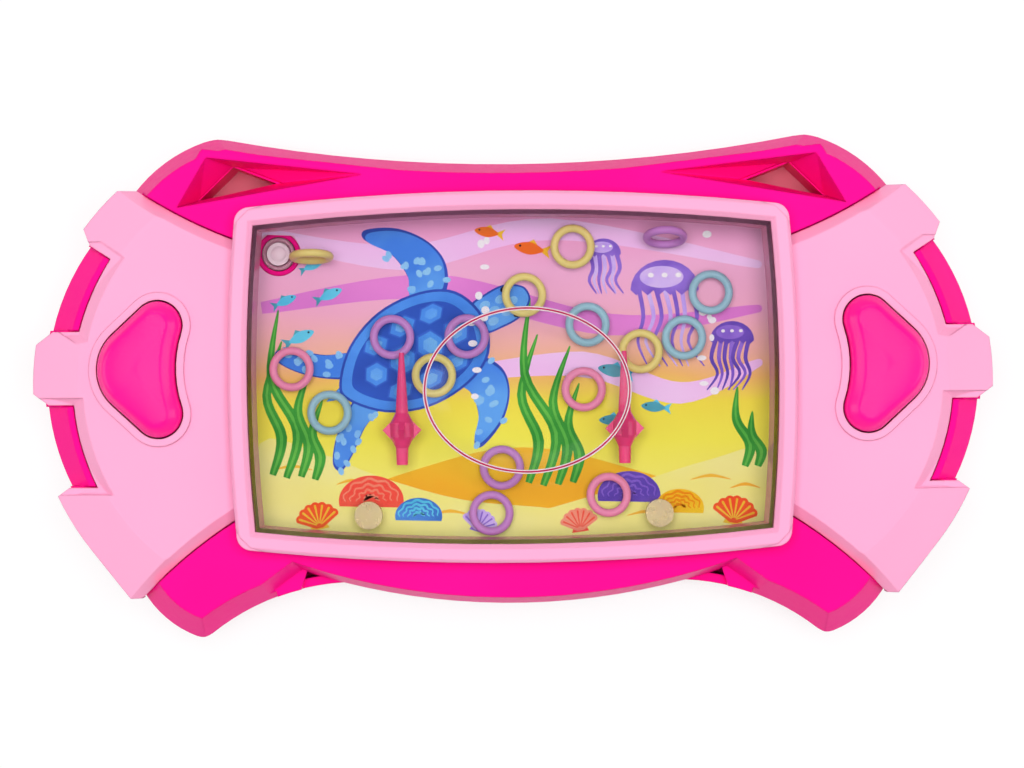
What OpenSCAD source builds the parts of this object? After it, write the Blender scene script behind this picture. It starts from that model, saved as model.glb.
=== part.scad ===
// Handheld water game: two button pumps blow water at rings in a clear tank,
// and the rings are caught on two spikes. Sizes are in millimetres.
// It lies on its back at z = 0, with the window facing up and +Y at the top of the picture.

/* [Case outline] */
// Radius of the rounded left and right ends
end_r = 46; // [44:0.5:47]
// Sideways place of the centre of each rounded end
end_x = 48.2; // [46:0.1:50]
// Height of the top edge at the middle
top_y = 44.7; // [43.5:0.1:47]
// Radius of the hollow top edge
top_r = 313.9; // [280:1:400]
// Radius of the outer side of each horn
horn_r = 30.3; // [29:0.1:31]
// Radius of the outer side of each leg
leg_r = 21.1; // [20.5:0.1:22]
// Lowest point of the belly
belly_y = -44.3; // [-46:0.1:-43.5]
// Radius of the belly
belly_r = 136.7; // [120:1:160]

/* [Case shells] */
// Height where the rear and front shells meet
part_z = 14; // [13.4:0.1:15]
// Height of the raised front faces
face_z = 24; // [23:0.1:24.6]
// Wall thickness of both shells
shell_wall = 1.8; // [1.4:0.1:2]
// Floor thickness of the rear shell
floor_t = 2; // [1.6:0.1:2.4]
// Slope of the top edge, measured across
top_slope = 2.4; // [1:0.1:3.6]
// Slope of the belly, measured across
belly_slope = 1.7; // [1:0.1:3.6]
// Slope of the legs, measured across
leg_slope = 3.7; // [1:0.1:5]
// Slope of the horns, measured across
horn_slope = 3.4; // [1:0.1:4]

/* [Front cover] */
// Half width of the bezel at the middle
bezel_x = 56.5; // [55.5:0.1:57]
// Top of the bezel at the middle
bezel_top = 38.4; // [38:0.1:39]
// Bottom of the bezel at the middle
bezel_bottom = -35.3; // [-36:0.1:-35]
// Radius of the bowed sides of the bezel
bezel_side_r = 316; // [280:1:400]
// Radius of the bowed top and bottom of the bezel
bezel_end_r = 475; // [440:5:600]
// Corner radius of the bezel
bezel_corner = 3; // [2.5:0.1:3.6]
// Width of the bezel bar round the window
bezel_bar = 3.7; // [3.5:0.1:4.2]
// Thickness of the bezel above the tank
bezel_t = 1.9; // [1.5:0.1:2.5]
// Radius of the crease between each wing and its teeth
crease_r = 43.9; // [43:0.1:44.4]
// Radius that the teeth reach
tooth_r = 53; // [52:0.1:54]
// Height of the wings next to the bezel
wing_z = 27; // [26:0.1:28]
// Height of the wings at the crease
crease_z = 24.9; // [24.4:0.1:25.4]
// Height of the teeth at their outer ends
tooth_z = 22; // [21:0.1:23]
// Wall thickness of the front cover
cover_wall = 1.8; // [1.4:0.1:2]

/* [Tank] */
// Height of the underside of the tank
tank_base = 13.5; // [13:0.1:14]
// Water depth inside the tank
tank_depth = 13.5; // [12.8:0.1:14.5]
// Thickness of the tank's front and back plates
plate_t = 1.5; // [1.2:0.1:1.8]
// Thickness of the tank's side walls
tank_wall = 1.6; // [1.2:0.1:2]
// Half length of the oval dish in the window
dish_a = 20.4; // [18:0.1:21.5]
// Half height of the oval dish in the window
dish_b = 16.3; // [14:0.1:18]
// Depth of the oval dish
dish_depth = 4.2; // [3:0.1:4.4]
// Thickness of the picture card
card_t = 0.4; // [0.2:0.1:0.8]
// Outer radius of the filler neck
neck_r = 3.35; // [3:0.05:3.6]
// Bore radius of the filler neck
neck_bore = 2.4; // [2:0.1:2.6]

/* [Rings and spikes] */
// Outer diameter of a ring
ring_d = 9; // [8.4:0.1:9]
// Thickness of a ring's wire
ring_wire = 1.6; // [1.2:0.1:1.7]
// Sideways place of each spike
spike_x = 22.4; // [21.5:0.1:23]
// Length of the spike in front of its hub
spike_l = 12.2; // [10:0.1:12.4]
// Radius of the spike where it leaves its hub
spike_r = 1.3; // [1:0.1:1.5]
// Half width of the spike's hub
hub_r = 3.9; // [3:0.1:4.1]
// Radius of the stud that holds a spike
stud_r = 1.2; // [1:0.1:1.4]

/* [Buttons] */
// Radius of the two lobes of a button
lobe_r = 4.8; // [4.4:0.1:5]
// Radius of the outer bulge of a button
bulge_r = 9.5; // [9:0.1:9.8]
// Half distance between the centres of the lobes
lobe_step = 8.8; // [8.4:0.1:9]
// Height of the crown of a button
button_z = 29.4; // [28.5:0.1:30.5]
// Travel of a button
button_travel = 4; // [3:0.1:4.4]
// Wall thickness of a button
button_wall = 1.5; // [1.2:0.1:2]
// Clearance round a button
button_gap = 0.3; // [0.2:0.05:0.5]

/* [Pumps] */
// Outer radius of the bellows
bellows_r = 6.8; // [6:0.1:7]
// Wall thickness of the bellows
bellows_wall = 0.9; // [0.7:0.1:1.1]
// Folds in each bellows
bellows_folds = 4; // [3:1:5]
// Height of a pump base
pump_h = 5.5; // [5.2:0.1:6]
// Radius of a pump base
pump_r = 8; // [7.8:0.1:8.6]
// Outer radius of the hoses
hose_r = 2.1; // [1.9:0.1:2.3]
// Bore radius of the hoses
hose_bore = 1.25; // [1:0.05:1.3]
// Sideways place of the water jets
jet_x = 29.4; // [27:0.1:31]

/* [Screws] */
// Radius of the shank of a case screw
screw_r = 1.3; // [1.1:0.1:1.5]
// Radius of the head of a case screw
screw_head_r = 2.6; // [2.3:0.1:2.8]
// Outer radius of a screw post
post_r = 2.8; // [2.6:0.1:3]
// Radius of the shank of a small screw
small_screw_r = 0.9; // [0.8:0.1:1]
// Radius of the head of a small screw
small_head_r = 1.8; // [1.5:0.1:2]

/* [Hidden] */
$fn = 72;
// Facets of the long arcs
arc_fn = 360;
// Largest step, in degrees, between points of an outline made of points
arc_step = 6;
// Keeps two outlines from only just touching
trim = 0.05;
// Thin overlap that keeps cuts clean
eps = 0.01;
// Gap between pieces that sit beside each other
seam = 0.3;
// How far a slope's cutter reaches past the slope's foot and top
slope_reach = 0.3;
// Radial gap round a fixed shank or spigot
snug = 0.05;
// Radial gap where something passes through a hole freely
pass = 0.4;

magenta = "#ff1493";
pale_pink = "#fdb0d8";
glassy = [0.93, 0.97, 1, 0.35];
rubber_white = "#f4ece8";
steel = "#b9bcc2";

// Centres of the outline's arcs on the right-hand side
end_y = 1.1;
horn_at = [52.4, 21];
leg_at = [56.9, -30.8];
leg_hollow_at = [32.2, -86.8];
leg_hollow_r = 47;
top_at = [0, top_y + top_r];
belly_at = [0, belly_y + belly_r];
// Side of each leg that faces the belly: a point on its foot, and the way that it runs
leg_side_at = [48, -42.2];
leg_side_angle = 143.7;
// Rounded tips of the horns and the legs
horn_tip_r = 9;
leg_tip_r = 3;
// The wing, and the two boundaries that cut it
wing_at = [43.3, 0.4];
wing_upper_r = 94.5;
wing_upper_end = [56.3, 29.6];
wing_upper_lean = 111;
wing_upper_at = wing_upper_end + wing_upper_r * [cos(wing_upper_lean), sin(wing_upper_lean)];
wing_lower_r = 92.7;
wing_lower_end = [55.9, -26.7];
wing_lower_lean = -122;
wing_lower_at = wing_lower_end + wing_lower_r * [cos(wing_lower_lean), sin(wing_lower_lean)];
wing_flat_r = 14;
wing_bevel = 2;
wing_bevel_h = 2.4;
wing_border_z = 25.85;
wing_border_fall = 3.1;
tooth_border_fall = 15.5;
edge_bevel = 2.2;
edge_bevel_h = 2.5;
notch_r = crease_r + 1;
// Sides of the teeth, from the top tooth down
tooth_1_side = [80, 25.6];
tooth_1_angle = 32.5;
tooth_2_top = 11.3;
tooth_2_bottom = -3.4;
tooth_3_top = -20;
tooth_3_angle = -38;
teeth_top = 39.5;
teeth_bottom = -42.4;
tooth_bevel = 2.2;
tooth_corner = 3;

// Stack of the tank
card_z = tank_base - card_t;
plate_z = tank_base + plate_t;
glass_z = plate_z + tank_depth;
tank_top = glass_z + plate_t;
flange_t = 2;
flange_z = plate_z + flange_t;
bezel_z = tank_top + eps * 10 + bezel_t;
lip_z = tank_top + eps * 10;
tank_inset = 2.9;
flange_inset = 1.2;
inner_inset = tank_inset + tank_wall;
dish_at = [2.8, -1.1];
neck_at = [-47.4, 26.9];
neck_end = 6.2;
plug_z = 4.2;
card_hole_r = neck_r + 1.2;
card_inset = flange_inset + 0.3;
rib_inset = tank_inset;
rib_t = 1.5;

// Decks, seats and the feet of the slopes
slope_foot = part_z + 0.4;
leg_outer_slope = 4.6;
deck_z = 20;
deck_t = 2;
grip_z = deck_z + 1.8;
grip_crease_r = notch_r + 1.5;
grip_foot_r = notch_r + 6.1;
grip_foot_z = part_z + 1.8;
tooth_low = part_z + seam;
lip_raise = 0.7;
lip_w = 1.5;
notch_floor = part_z + 3.5;

// Horn hole and its funnel, on the right-hand side
horn_hole = [[47.6, 41.2], [56.4, 44.6], [63.4, 37.8]];
horn_funnel = [[29, 42.3], [61.2, 46], [67.2, 35.8]];
horn_wall = 1.6;

// Buttons and pumps
button_at = [73.4, 3.6];
lobe_x = 70.8;
dent_depth = 1.4;
flange_out = 1.3;
bellows_min = 5.7;
button_flange_t = 1.5;
crown_r = 45;
pump_at = [74.4, 3.6];
pump_top = floor_t + pump_h;
button_low = pump_top + bellows_min + button_travel;
bellows_gap = 0.1;
bellows_top = button_low - bellows_gap;
hose_z = floor_t + 2.8;
hose_bend = 4.5;
spigot_r = hose_bore + snug;
spigot_l = 4;
jet_y = -26.2;
jet_at = [jet_x, jet_y];
jet_h = 3.4;
jet_bore = 0.6;
lug_r = 2.8;
lug_step = pump_r + lug_r + seam;
lug_t = 2;
lug_z = floor_t + 2;

// Screw places on the right-hand side, with the height that each post reaches
case_screw_at = [[71.5, 31, deck_z - 1.5], [61, -39.5, face_z - 1.5], [28, 41, deck_z - 1.5]];
cover_screw_at = [[66.5, 24.5], [64.5, -18.5]];
screw_seat = 2.4;
screw_tip = part_z + 3.5;
head_t = 1.7;
cover_screw_l = 6;

spike_z = 20.1;
hub_y = -9;
hub_front = 3.4;
hub_back = 3.6;
tail_l = 3.4;
tip_r = 0.5;

// Rings: place in the tank, tilt about X, and colour number
ring_gap = 0.2;
ring_places = [
    [-40.4, 26.1, 80, 0], [12.3, 27.8, 0, 0], [30.9, 29.4, 69, 2], [40.2, 18.3, 0, 1],
    [34.7, 9.2, 0, 1], [25.9, 6.5, 0, 0], [2.4, 18.1, 0, 0], [15.2, 12.0, 0, 1],
    [-24.4, 9.8, 0, 2], [-9.3, 9.8, 0, 2], [-16.0, 2.0, 0, 0], [-44.8, 3.5, 0, 3],
    [-37.2, -5.4, 0, 1], [14.3, -1.1, 0, 3], [-2.4, -16.8, 0, 2], [-4.6, -26.0, 0, 2],
    [19.2, -22.5, 0, 3]
];
ring_colours = ["#ece58c", "#a9d5de", "#c9a0d8", "#f3a6c4"];

function ring_name(i) = str("ring_", i < 9 ? "0" : "", i + 1);
ring_count = len(ring_places);
ring_names = [for (i = [0 : ring_count - 1]) ring_name(i)];

// Geometry helpers

// Where two circles cross, on the side given by side = 1 or -1
function meet(p, rp, q, rq, side) =
    let (d = norm(q - p), a = (rp * rp - rq * rq + d * d) / (2 * d),
         h = sqrt(rp * rp - a * a), u = (q - p) / d)
    p + a * u + side * h * [-u[1], u[0]];

// The two points where a line touches two circles on the same side
function touch(p, rp, q, rq, side) =
    let (d = q - p, n = atan2(d[1], d[0]) + side * acos((rp - rq) / norm(d)))
    [p + rp * [cos(n), sin(n)], q + rq * [cos(n), sin(n)]];

function unit(v) = v / norm(v);

// An outline with straight sides, given clockwise, grown outwards by g
function grown(t, g) = let (n = len(t)) [for (i = [0 : n - 1])
    let (a = unit(t[i] - t[(i + n - 1) % n]), b = unit(t[(i + 1) % n] - t[i]),
         na = [-a[1], a[0]], nb = [-b[1], b[0]])
    t[i] + g * (na + nb) / (1 + na * nb)];

// Middle of the rounding, of radius r, between a bulging arc about p and a hollow arc about q
function tip_at(p, rp, q, rq, r, side) = meet(p, rp - r, q, rq + r, side);

function flip(p) = [-p[0], p[1]];

module both_sides() {
    children();
    mirror([1, 0, 0]) children();
}

module disc(at, r) {
    translate(at) circle(r = r, $fn = r > 30 ? arc_fn : $fn);
}

module area(x0, y0, x1, y1) {
    translate([x0, y0]) square([x1 - x0, y1 - y0]);
}

module slab(z0, z1) {
    translate([0, 0, z0]) linear_extrude(z1 - z0) children();
}

// A slope round an arc from a0 to a1, from radius r at z0 to r - band at z1.
// Everything from there on towards 'out' is cut: out > 0 outside the arc, out < 0 inside it.
module slope_cut(at, r, band, z0, z1, a0, a1, out, reach = slope_reach) {
    s = sign(out) * reach;
    rise = (z1 - z0) / band * reach;
    inner = r - sign(out) * band - s;
    translate([at[0], at[1], 0]) rotate([0, 0, a0])
        rotate_extrude(angle = a1 - a0, $fn = arc_fn)
            polygon([[r + s, z0 - rise], [inner, z1 + rise], [r + out, z1 + rise], [r + out, z0 - rise]]);
}

// A slope along the line through 'at' at an angle, seen from above. Everything left of the line is
// cut, from the line itself at z0 to band right of it at z1. It falls by 'fall' degrees along the line.
module plane_cut(at, angle, band, z0, z1, fall = 0) {
    reach = 18;
    rise = (z1 - z0) / band * slope_reach;
    translate([at[0], at[1], z1]) rotate([0, 0, angle]) rotate([0, fall, 0])
        rotate([90, 0, 90]) translate([0, 0, -reach]) linear_extrude(2 * reach)
            polygon([[slope_reach, z0 - z1 - rise], [-band - slope_reach, rise],
                     [-band - slope_reach, 6], [reach, 6], [reach, z0 - z1 - rise]]);
}

// Case outline

// Rounds the tip between a bulging arc about p and a hollow arc about q to radius r about c
module tip(c, r, p, q) {
    a = unit(c - p);
    b = unit(q - c);
    start = atan2(a[1], a[0]);
    difference() {
        children();
        polygon(concat([c + 3 * r * a],
                       arc_points(c, r - trim, start, start + atan2(cross(a, b), a * b)),
                       [c + 3 * r * b, c + 3 * r * unit(a + b)]));
    }
}

// Grown outwards by g
module horn_plan(g) {
    tip(tip_at(horn_at, horn_r, top_at, top_r, horn_tip_r, -1), horn_tip_r + g, horn_at, top_at)
        difference() {
            union() {
                area(0, 0, horn_at[0] + 1, top_y + 12);
                intersection() {
                    disc(horn_at, horn_r + g);
                    area(20, 15, 90, 60);
                }
            }
            disc(top_at, top_r - g);
        }
}

// The rounded end of the case with its leg
module leg_plan(g) {
    tip(tip_at(leg_at, leg_r, leg_hollow_at, leg_hollow_r, leg_tip_r, 1), leg_tip_r + g, leg_at,
        leg_hollow_at)
        difference() {
            union() {
                disc([end_x, end_y], end_r + g);
                intersection() {
                    disc(leg_at, leg_r + g);
                    area(30, -60, 90, -15);
                }
                area(34, -44, leg_at[0], leg_at[1]);
            }
            disc(leg_hollow_at, leg_hollow_r - g);
        }
}

module belly_plan(g) {
    intersection() {
        disc(belly_at, belly_r + g);
        area(-1, -60, 43, 1);
    }
}

module body_plan(g = 0) {
    both_sides() {
        horn_plan(g);
        leg_plan(g);
        belly_plan(g);
    }
}

// The part of the front that a wing covers, on the right-hand side
module wing_zone(g = 0) {
    difference() {
        area(bezel_x - 14, -56, 110, 56);
        disc(wing_upper_at, wing_upper_r - g);
        disc(wing_lower_at, wing_lower_r - g);
    }
}

// The two gaps between the teeth, shrunk by g, on the right-hand side
module tooth_gaps(g = 0) {
    reach = tooth_r + 6;
    slant = [cos(tooth_1_angle), sin(tooth_1_angle)];
    across = [-slant[1], slant[0]];
    start = tooth_1_side - across * g;
    difference() {
        union() {
            polygon([start - 3 * slant, start + 20 * slant,
                     [wing_at[0] + reach, tooth_2_top + g], [75, tooth_2_top + g]]);
            area(75, tooth_3_top + g, wing_at[0] + reach, tooth_2_bottom - g);
        }
        disc(wing_at, notch_r + g);
    }
}

// Bezel outline, drawn in by inset

function corner_r(inset) = max(bezel_corner - inset, 0.6);
bezel_mid = (bezel_top + bezel_bottom) / 2;
top_c = [0, bezel_top - bezel_end_r];
bottom_c = [0, bezel_bottom + bezel_end_r];
side_c = [bezel_x - bezel_side_r, bezel_mid];
// Outlines drawn in by this much or more have sharp corners
sharp_inset = 2.5;

function corner_at(inset, up) =
    let (rc = corner_r(inset))
    meet(up ? top_c : bottom_c, bezel_end_r - inset - rc, side_c, bezel_side_r - inset - rc,
         up ? -1 : 1);

// Where the corner's arc begins and ends
function corner_ends(inset, up) =
    let (p = corner_at(inset, up), rc = corner_r(inset))
    [p + rc * unit(p - (up ? top_c : bottom_c)), p + rc * unit(p - side_c)];

module bezel_frame_cut(inset) {
    t = corner_ends(inset, true);
    b = corner_ends(inset, false);
    far = 12;
    polygon([[0, bezel_top + far], t[0], t[1], [bezel_x + far, bezel_mid], b[1], b[0],
             [0, bezel_bottom - far], flip(b[0]), flip(b[1]), [-bezel_x - far, bezel_mid],
             flip(t[1]), flip(t[0])]);
}

module barrel(inset = 0) {
    rounded = inset < sharp_inset;
    intersection() {
        disc(top_c, bezel_end_r - inset);
        disc(bottom_c, bezel_end_r - inset);
        disc(side_c, bezel_side_r - inset);
        disc(flip(side_c), bezel_side_r - inset);
        if (rounded) bezel_frame_cut(inset);
    }
    if (rounded)
        both_sides() for (up = [true, false]) disc(corner_at(inset, up), corner_r(inset));
}

// A layer whose outline goes from inset i0 at z0 to inset i1 at z1
module barrel_taper(z0, z1, i0, i1) {
    h = z1 - z0;
    rounded = max(i0, i1) < sharp_inset;
    translate([0, 0, z0]) {
        intersection() {
            barrel_cones(h, i0, i1);
            if (rounded) linear_extrude(h) bezel_frame_cut(max(i0, i1));
        }
        if (rounded) both_sides() for (up = [true, false])
            translate(corner_at(max(i0, i1), up))
                cylinder(h = h, r1 = corner_r(i0), r2 = corner_r(i1));
    }
}

module barrel_cones(h, i0, i1) {
    intersection() {
        bow(h, top_c, bezel_end_r, i0, i1);
        bow(h, bottom_c, bezel_end_r, i0, i1);
        bow(h, side_c, bezel_side_r, i0, i1);
        bow(h, flip(side_c), bezel_side_r, i0, i1);
    }
}

module bow(h, at, r, i0, i1) {
    translate(at) cylinder(h = h, r1 = r - i0, r2 = r - i1, $fn = arc_fn);
}

// Points along an arc about p, from angle a0 to a1
function arc_points(p, r, a0, a1) = let (n = ceil(abs(a1 - a0) / arc_step))
    [for (i = [0 : n]) let (a = a0 + (a1 - a0) * i / n) p + r * [cos(a), sin(a)]];

// Button outline on the right-hand side, grown by g: two lobes with an outer bulge, and a hollow
// inner side that runs smoothly into the lobes
lobe_low = lobe_r - dent_depth;
dent_r = (lobe_low * lobe_low + lobe_step * lobe_step - lobe_r * lobe_r) / (2 * dent_depth);
dent_at = [lobe_x - lobe_low - dent_r, button_at[1]];
lobe_high = [lobe_x, button_at[1] + lobe_step];
lobe_deep = [lobe_x, button_at[1] - lobe_step];
// Where the outline turns from the bulge to a lobe, and from a lobe to the hollow
bulge_turn = atan2(lobe_step, lobe_x - button_at[0])
    - acos((bulge_r - lobe_r) / norm(lobe_high - button_at));
dent_turn = atan2(lobe_step, lobe_x - dent_at[0]);

module kidney(g = 0) {
    polygon(concat(
        arc_points(button_at, bulge_r + g, -bulge_turn, bulge_turn),
        arc_points(lobe_high, lobe_r + g, bulge_turn, 180 + dent_turn),
        arc_points(dent_at, dent_r - g, dent_turn, -dent_turn),
        arc_points(lobe_deep, lobe_r + g, 180 - dent_turn, 360 - bulge_turn)));
}

// Front shell

// Its form drawn in by t, with the raised faces, the decks under the wings and the slopes
module front_form(t) {
    inside = t > 0;
    difference() {
        slab(inside ? part_z - 1 : part_z, face_z - t) body_plan(-t);
        slab(deck_z - (inside ? deck_t : 0), face_z + 1) both_sides() wing_zone(seam + t);
        front_slopes(t);
        both_sides() leg_notch(t);
    }
}

module front_slopes(t) {
    slope_cut(top_at, top_r + t, top_slope, slope_foot, face_z, 255, 285, -8);
    slope_cut(belly_at, belly_r - t, belly_slope, slope_foot, face_z, 252.1, 287.9, 8);
    both_sides() {
        slope_cut(horn_at, horn_r - t, horn_slope, slope_foot, face_z, 37, 84, 8);
        slope_cut(leg_at, leg_r - t, leg_outer_slope, slope_foot, face_z, 278, 331, 8);
        slope_cut(leg_hollow_at, leg_hollow_r + t, leg_slope, slope_foot, face_z, 40, 70.6, -8);
    }
}

// Pocket between a leg and the belly, where only the lower layer shows
module leg_notch(t) {
    out = t * [sin(leg_side_angle), -cos(leg_side_angle)];
    intersection() {
        slope_cut(belly_at, belly_r - t, belly_slope, slope_foot, face_z, 280, 296, 14);
        plane_cut(leg_side_at + out, leg_side_angle, leg_slope, slope_foot, face_z);
        slab(notch_floor - t, face_z + 1) area(30, -52, 62, -30);
    }
}

// Three-sided funnel of a horn hole, grown by g, from just below the hole's rim to above the face
module funnel(g) {
    low = part_z - 0.5;
    high = face_z + 0.5;
    polyhedron(
        points = concat([for (p = grown(horn_hole, g)) [p[0], p[1], low]],
                        [for (p = grown(horn_funnel, g)) [p[0], p[1], high]]),
        faces = [[2, 1, 0], [3, 4, 5],
                 for (i = [0 : 2]) let (j = (i + 1) % 3) each [[i, j, i + 3], [j, j + 3, i + 3]]]);
}

module front_shell() {
    color(magenta) difference() {
        union() {
            difference() {
                front_form(0);
                front_form(shell_wall);
            }
            both_sides() {
                grips();
                intersection() {
                    funnel(horn_wall);
                    slab(part_z, face_z) difference() {
                        horn_plan(-top_slope / 2);
                        wing_zone(seam);
                    }
                }
                front_posts();
            }
        }
        slab(part_z - 1, face_z + 1) barrel(-seam);
        both_sides() {
            intersection() {
                slope_cut(wing_at, grip_foot_r, grip_foot_r - grip_crease_r, grip_foot_z, grip_z, -42, 50, 12);
                slab(part_z, face_z) tooth_gaps(seam);
            }
            funnel(0);
            slab(deck_z - 3, deck_z + 1) kidney(button_gap + cover_wall + pass);
            for (p = case_screw_at) translate([p[0], p[1], part_z - 1])
                cylinder(h = screw_tip - part_z + 1.3, r = screw_r + snug, $fn = 32);
            for (p = cover_screw_at) translate([p[0], p[1], deck_z - deck_t - 1])
                cylinder(h = deck_t + 2, r = small_screw_r + pass / 2, $fn = 32);
        }
    }
}

// Grips between the teeth: a deck that is thick along the outline, where a slope is cut from it
module grips() {
    slab(deck_z - deck_t, grip_z) grip_plan();
    slab(part_z, deck_z) difference() {
        grip_plan();
        disc(wing_at, grip_crease_r);
    }
}

module grip_plan() {
    intersection() {
        body_plan();
        tooth_gaps(seam);
    }
}

module front_posts() {
    for (p = case_screw_at)
        slab(part_z, p[2]) disc([p[0], p[1]], post_r);
}

// Rear shell

module rear_shell() {
    color(magenta) difference() {
        union() {
            difference() {
                slab(0, part_z) body_plan();
                slab(floor_t, part_z + 1) body_plan(-shell_wall);
            }
            slab(floor_t - eps, card_z) difference() {
                barrel(rib_inset);
                barrel(rib_inset + rib_t);
            }
            both_sides() {
                for (p = case_screw_at) {
                    slab(0, screw_seat + 2.2) disc([p[0], p[1]], screw_head_r + 1.5);
                    slab(0, part_z) disc([p[0], p[1]], post_r);
                }
                slab(0, part_z) intersection() {
                    polygon(grown(horn_hole, horn_wall));
                    body_plan();
                }
                for (p = lug_places()) slab(0, lug_z) disc(p, lug_r);
            }
        }
        both_sides() {
            slab(-1, part_z + 1) polygon(horn_hole);
            for (p = case_screw_at) {
                slab(-1, screw_seat) disc([p[0], p[1]], screw_head_r + pass);
                slab(-1, part_z + 1) disc([p[0], p[1]], screw_r + pass / 2);
            }
            for (p = lug_places()) slab(1, lug_z + 1) disc(p, small_screw_r + snug);
            hose_slot();
        }
        slab(-1, neck_end + 1) disc(neck_at, card_hole_r + pass);
    }
}

// Way for a hose through the rib under the tank
module hose_slot() {
    translate([jet_at[0], jet_at[1], floor_t])
        rotate([0, 0, hose_angle()])
            translate([0, -hose_r - pass, 0]) cube([hose_length(), 2 * (hose_r + pass), hose_z + hose_r]);
}

function hose_angle() = let (d = pump_at - jet_at) atan2(d[1], d[0]);
function hose_length() = norm(pump_at - jet_at) - pump_r;
function lug_places() =
    let (a = hose_angle() + 90, d = [cos(a), sin(a)])
    [pump_at + lug_step * d, pump_at - lug_step * d];

// Front cover

// Space under a wing's face, raised by h, on the right-hand side
module wing_dome(low, h) {
    reach = tooth_r + 8;
    fall = (crease_z - tooth_z) / (tooth_r - crease_r);
    translate([wing_at[0], wing_at[1], 0]) rotate_extrude($fn = 180)
        polygon([[0, low], [0, wing_z + h], [wing_flat_r, wing_z + h], [crease_r, crease_z + h],
                 [reach, crease_z - fall * (reach - crease_r) + h], [reach, low]]);
}

module wing_plan(g = 0) {
    difference() {
        intersection() {
            wing_zone(g);
            teeth_plan(g);
        }
        tooth_gaps(g);
        tooth_corners();
        barrel(1);
    }
}

// Outer outline of the teeth, which runs straight at the lowest tooth
module teeth_plan(g) {
    u = [cos(tooth_3_angle), sin(tooth_3_angle)];
    start = wing_at + (tooth_r + g) * u;
    intersection() {
        union() {
            disc(wing_at, tooth_r + g);
            polygon([wing_at, start, start + 20 * [u[1], -u[0]]]);
        }
        area(0, teeth_bottom - g, 110, teeth_top + g);
    }
}

// Cuts the outer corners of the teeth on the sides of the gaps
module tooth_corners() {
    slant = [cos(tooth_1_angle), sin(tooth_1_angle)];
    corner_cut(tooth_1_side + (tooth_r - norm(tooth_1_side - wing_at)) * slant, tooth_1_angle, -1);
    for (side = [[tooth_2_top, 1], [tooth_2_bottom, -1], [tooth_3_top, 1]]) {
        dy = side[0] - wing_at[1];
        corner_cut([wing_at[0] + sqrt(tooth_r * tooth_r - dy * dy), side[0]], 0, side[1]);
    }
}

// One corner at p, on a tooth side that runs outwards at an angle, with the gap on its left (s = 1)
// or right (s = -1)
module corner_cut(p, angle, s) {
    translate(p) rotate([0, 0, angle]) polygon([
        [-tooth_corner, 0], [tooth_corner, -2 * s * tooth_bevel], [9, -2 * s * tooth_bevel],
        [9, s], [-tooth_corner, s]]);
}

// Bevels along a wing's borders, and round the two gaps between its teeth
module wing_bevels() {
    crease_upper = meet(wing_at, crease_r, wing_upper_at, wing_upper_r, -1);
    crease_lower = meet(wing_at, crease_r, wing_lower_at, wing_lower_r, 1);
    border_cut(wing_upper_at, wing_upper_r, wing_upper_end, wing_border_z, wing_border_fall, 285, 320);
    border_cut(wing_upper_at, wing_upper_r, crease_upper, crease_z, tooth_border_fall, 285, 320);
    border_cut(wing_lower_at, wing_lower_r, wing_lower_end, wing_border_z, -wing_border_fall, 35, 65);
    border_cut(wing_lower_at, wing_lower_r, crease_lower, crease_z, -tooth_border_fall, 35, 65);
    intersection() {
        strip_cut();
        tooth_cut(tooth_1_side, tooth_1_angle, -1);
        tooth_cut(crease_point(tooth_2_top), 0, 1);
    }
    intersection() {
        strip_cut();
        tooth_cut(crease_point(tooth_2_bottom), 0, -1);
        tooth_cut(crease_point(tooth_3_top), 0, 1);
    }
}

// Where a tooth side at height y crosses the crease
function crease_point(y) =
    let (dy = y - wing_at[1]) [wing_at[0] + sqrt(crease_r * crease_r - dy * dy), y];

// Bevel along a border about 'at'. It reaches height z beside p, and falls by 'fall' degrees outwards.
module border_cut(at, r, p, z, fall, a0, a1) {
    translate([p[0], p[1], z]) rotate(a = fall, v = [at[0] - p[0], at[1] - p[1], 0])
        translate([-p[0], -p[1], -z])
            slope_cut(at, r, wing_bevel, z - wing_bevel_h, z, a0, a1, -6, 3);
}

// Bevel of the wing's face round the inner side of both gaps
module strip_cut() {
    slope_cut(wing_at, notch_r, edge_bevel, crease_z - edge_bevel_h, crease_z, -50, 60, 18);
}

// Bevel of one tooth side that runs outwards from p at an angle, with the gap on its left (s = 1)
// or right (s = -1). It falls with the tooth's face.
module tooth_cut(p, angle, s) {
    fall = atan((crease_z - tooth_z) / (tooth_r - crease_r));
    plane_cut(p, s > 0 ? angle : angle + 180, tooth_bevel, crease_z - edge_bevel_h, crease_z, s * fall);
}

module wing() {
    difference() {
        union() {
            intersection() {
                wing_dome(tooth_low, 0);
                slab(tooth_low, wing_z + 1) wing_plan();
            }
            intersection() {
                wing_dome(deck_z, lip_raise);
                slab(deck_z, wing_z + 2) kidney(button_gap + lip_w);
            }
        }
        wing_bevels();
        slab(tooth_low - 1, deck_z) body_plan(seam);
        intersection() {
            wing_dome(deck_z - 1, -cover_wall);
            slab(deck_z - 1, wing_z) intersection() {
                wing_plan(-cover_wall);
                body_plan(seam);
            }
        }
    }
    intersection() {
        wing_dome(deck_z - 1, -1);
        difference() {
            slab(deck_z - 1, wing_z) kidney(button_gap + lip_w);
            slab(deck_z - 2, wing_z + 1) kidney(button_gap);
        }
    }
    for (p = cover_screw_at) intersection() {
        wing_dome(deck_z, -1);
        slab(deck_z, wing_z) disc(p, small_screw_r + 1.6);
    }
}

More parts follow.
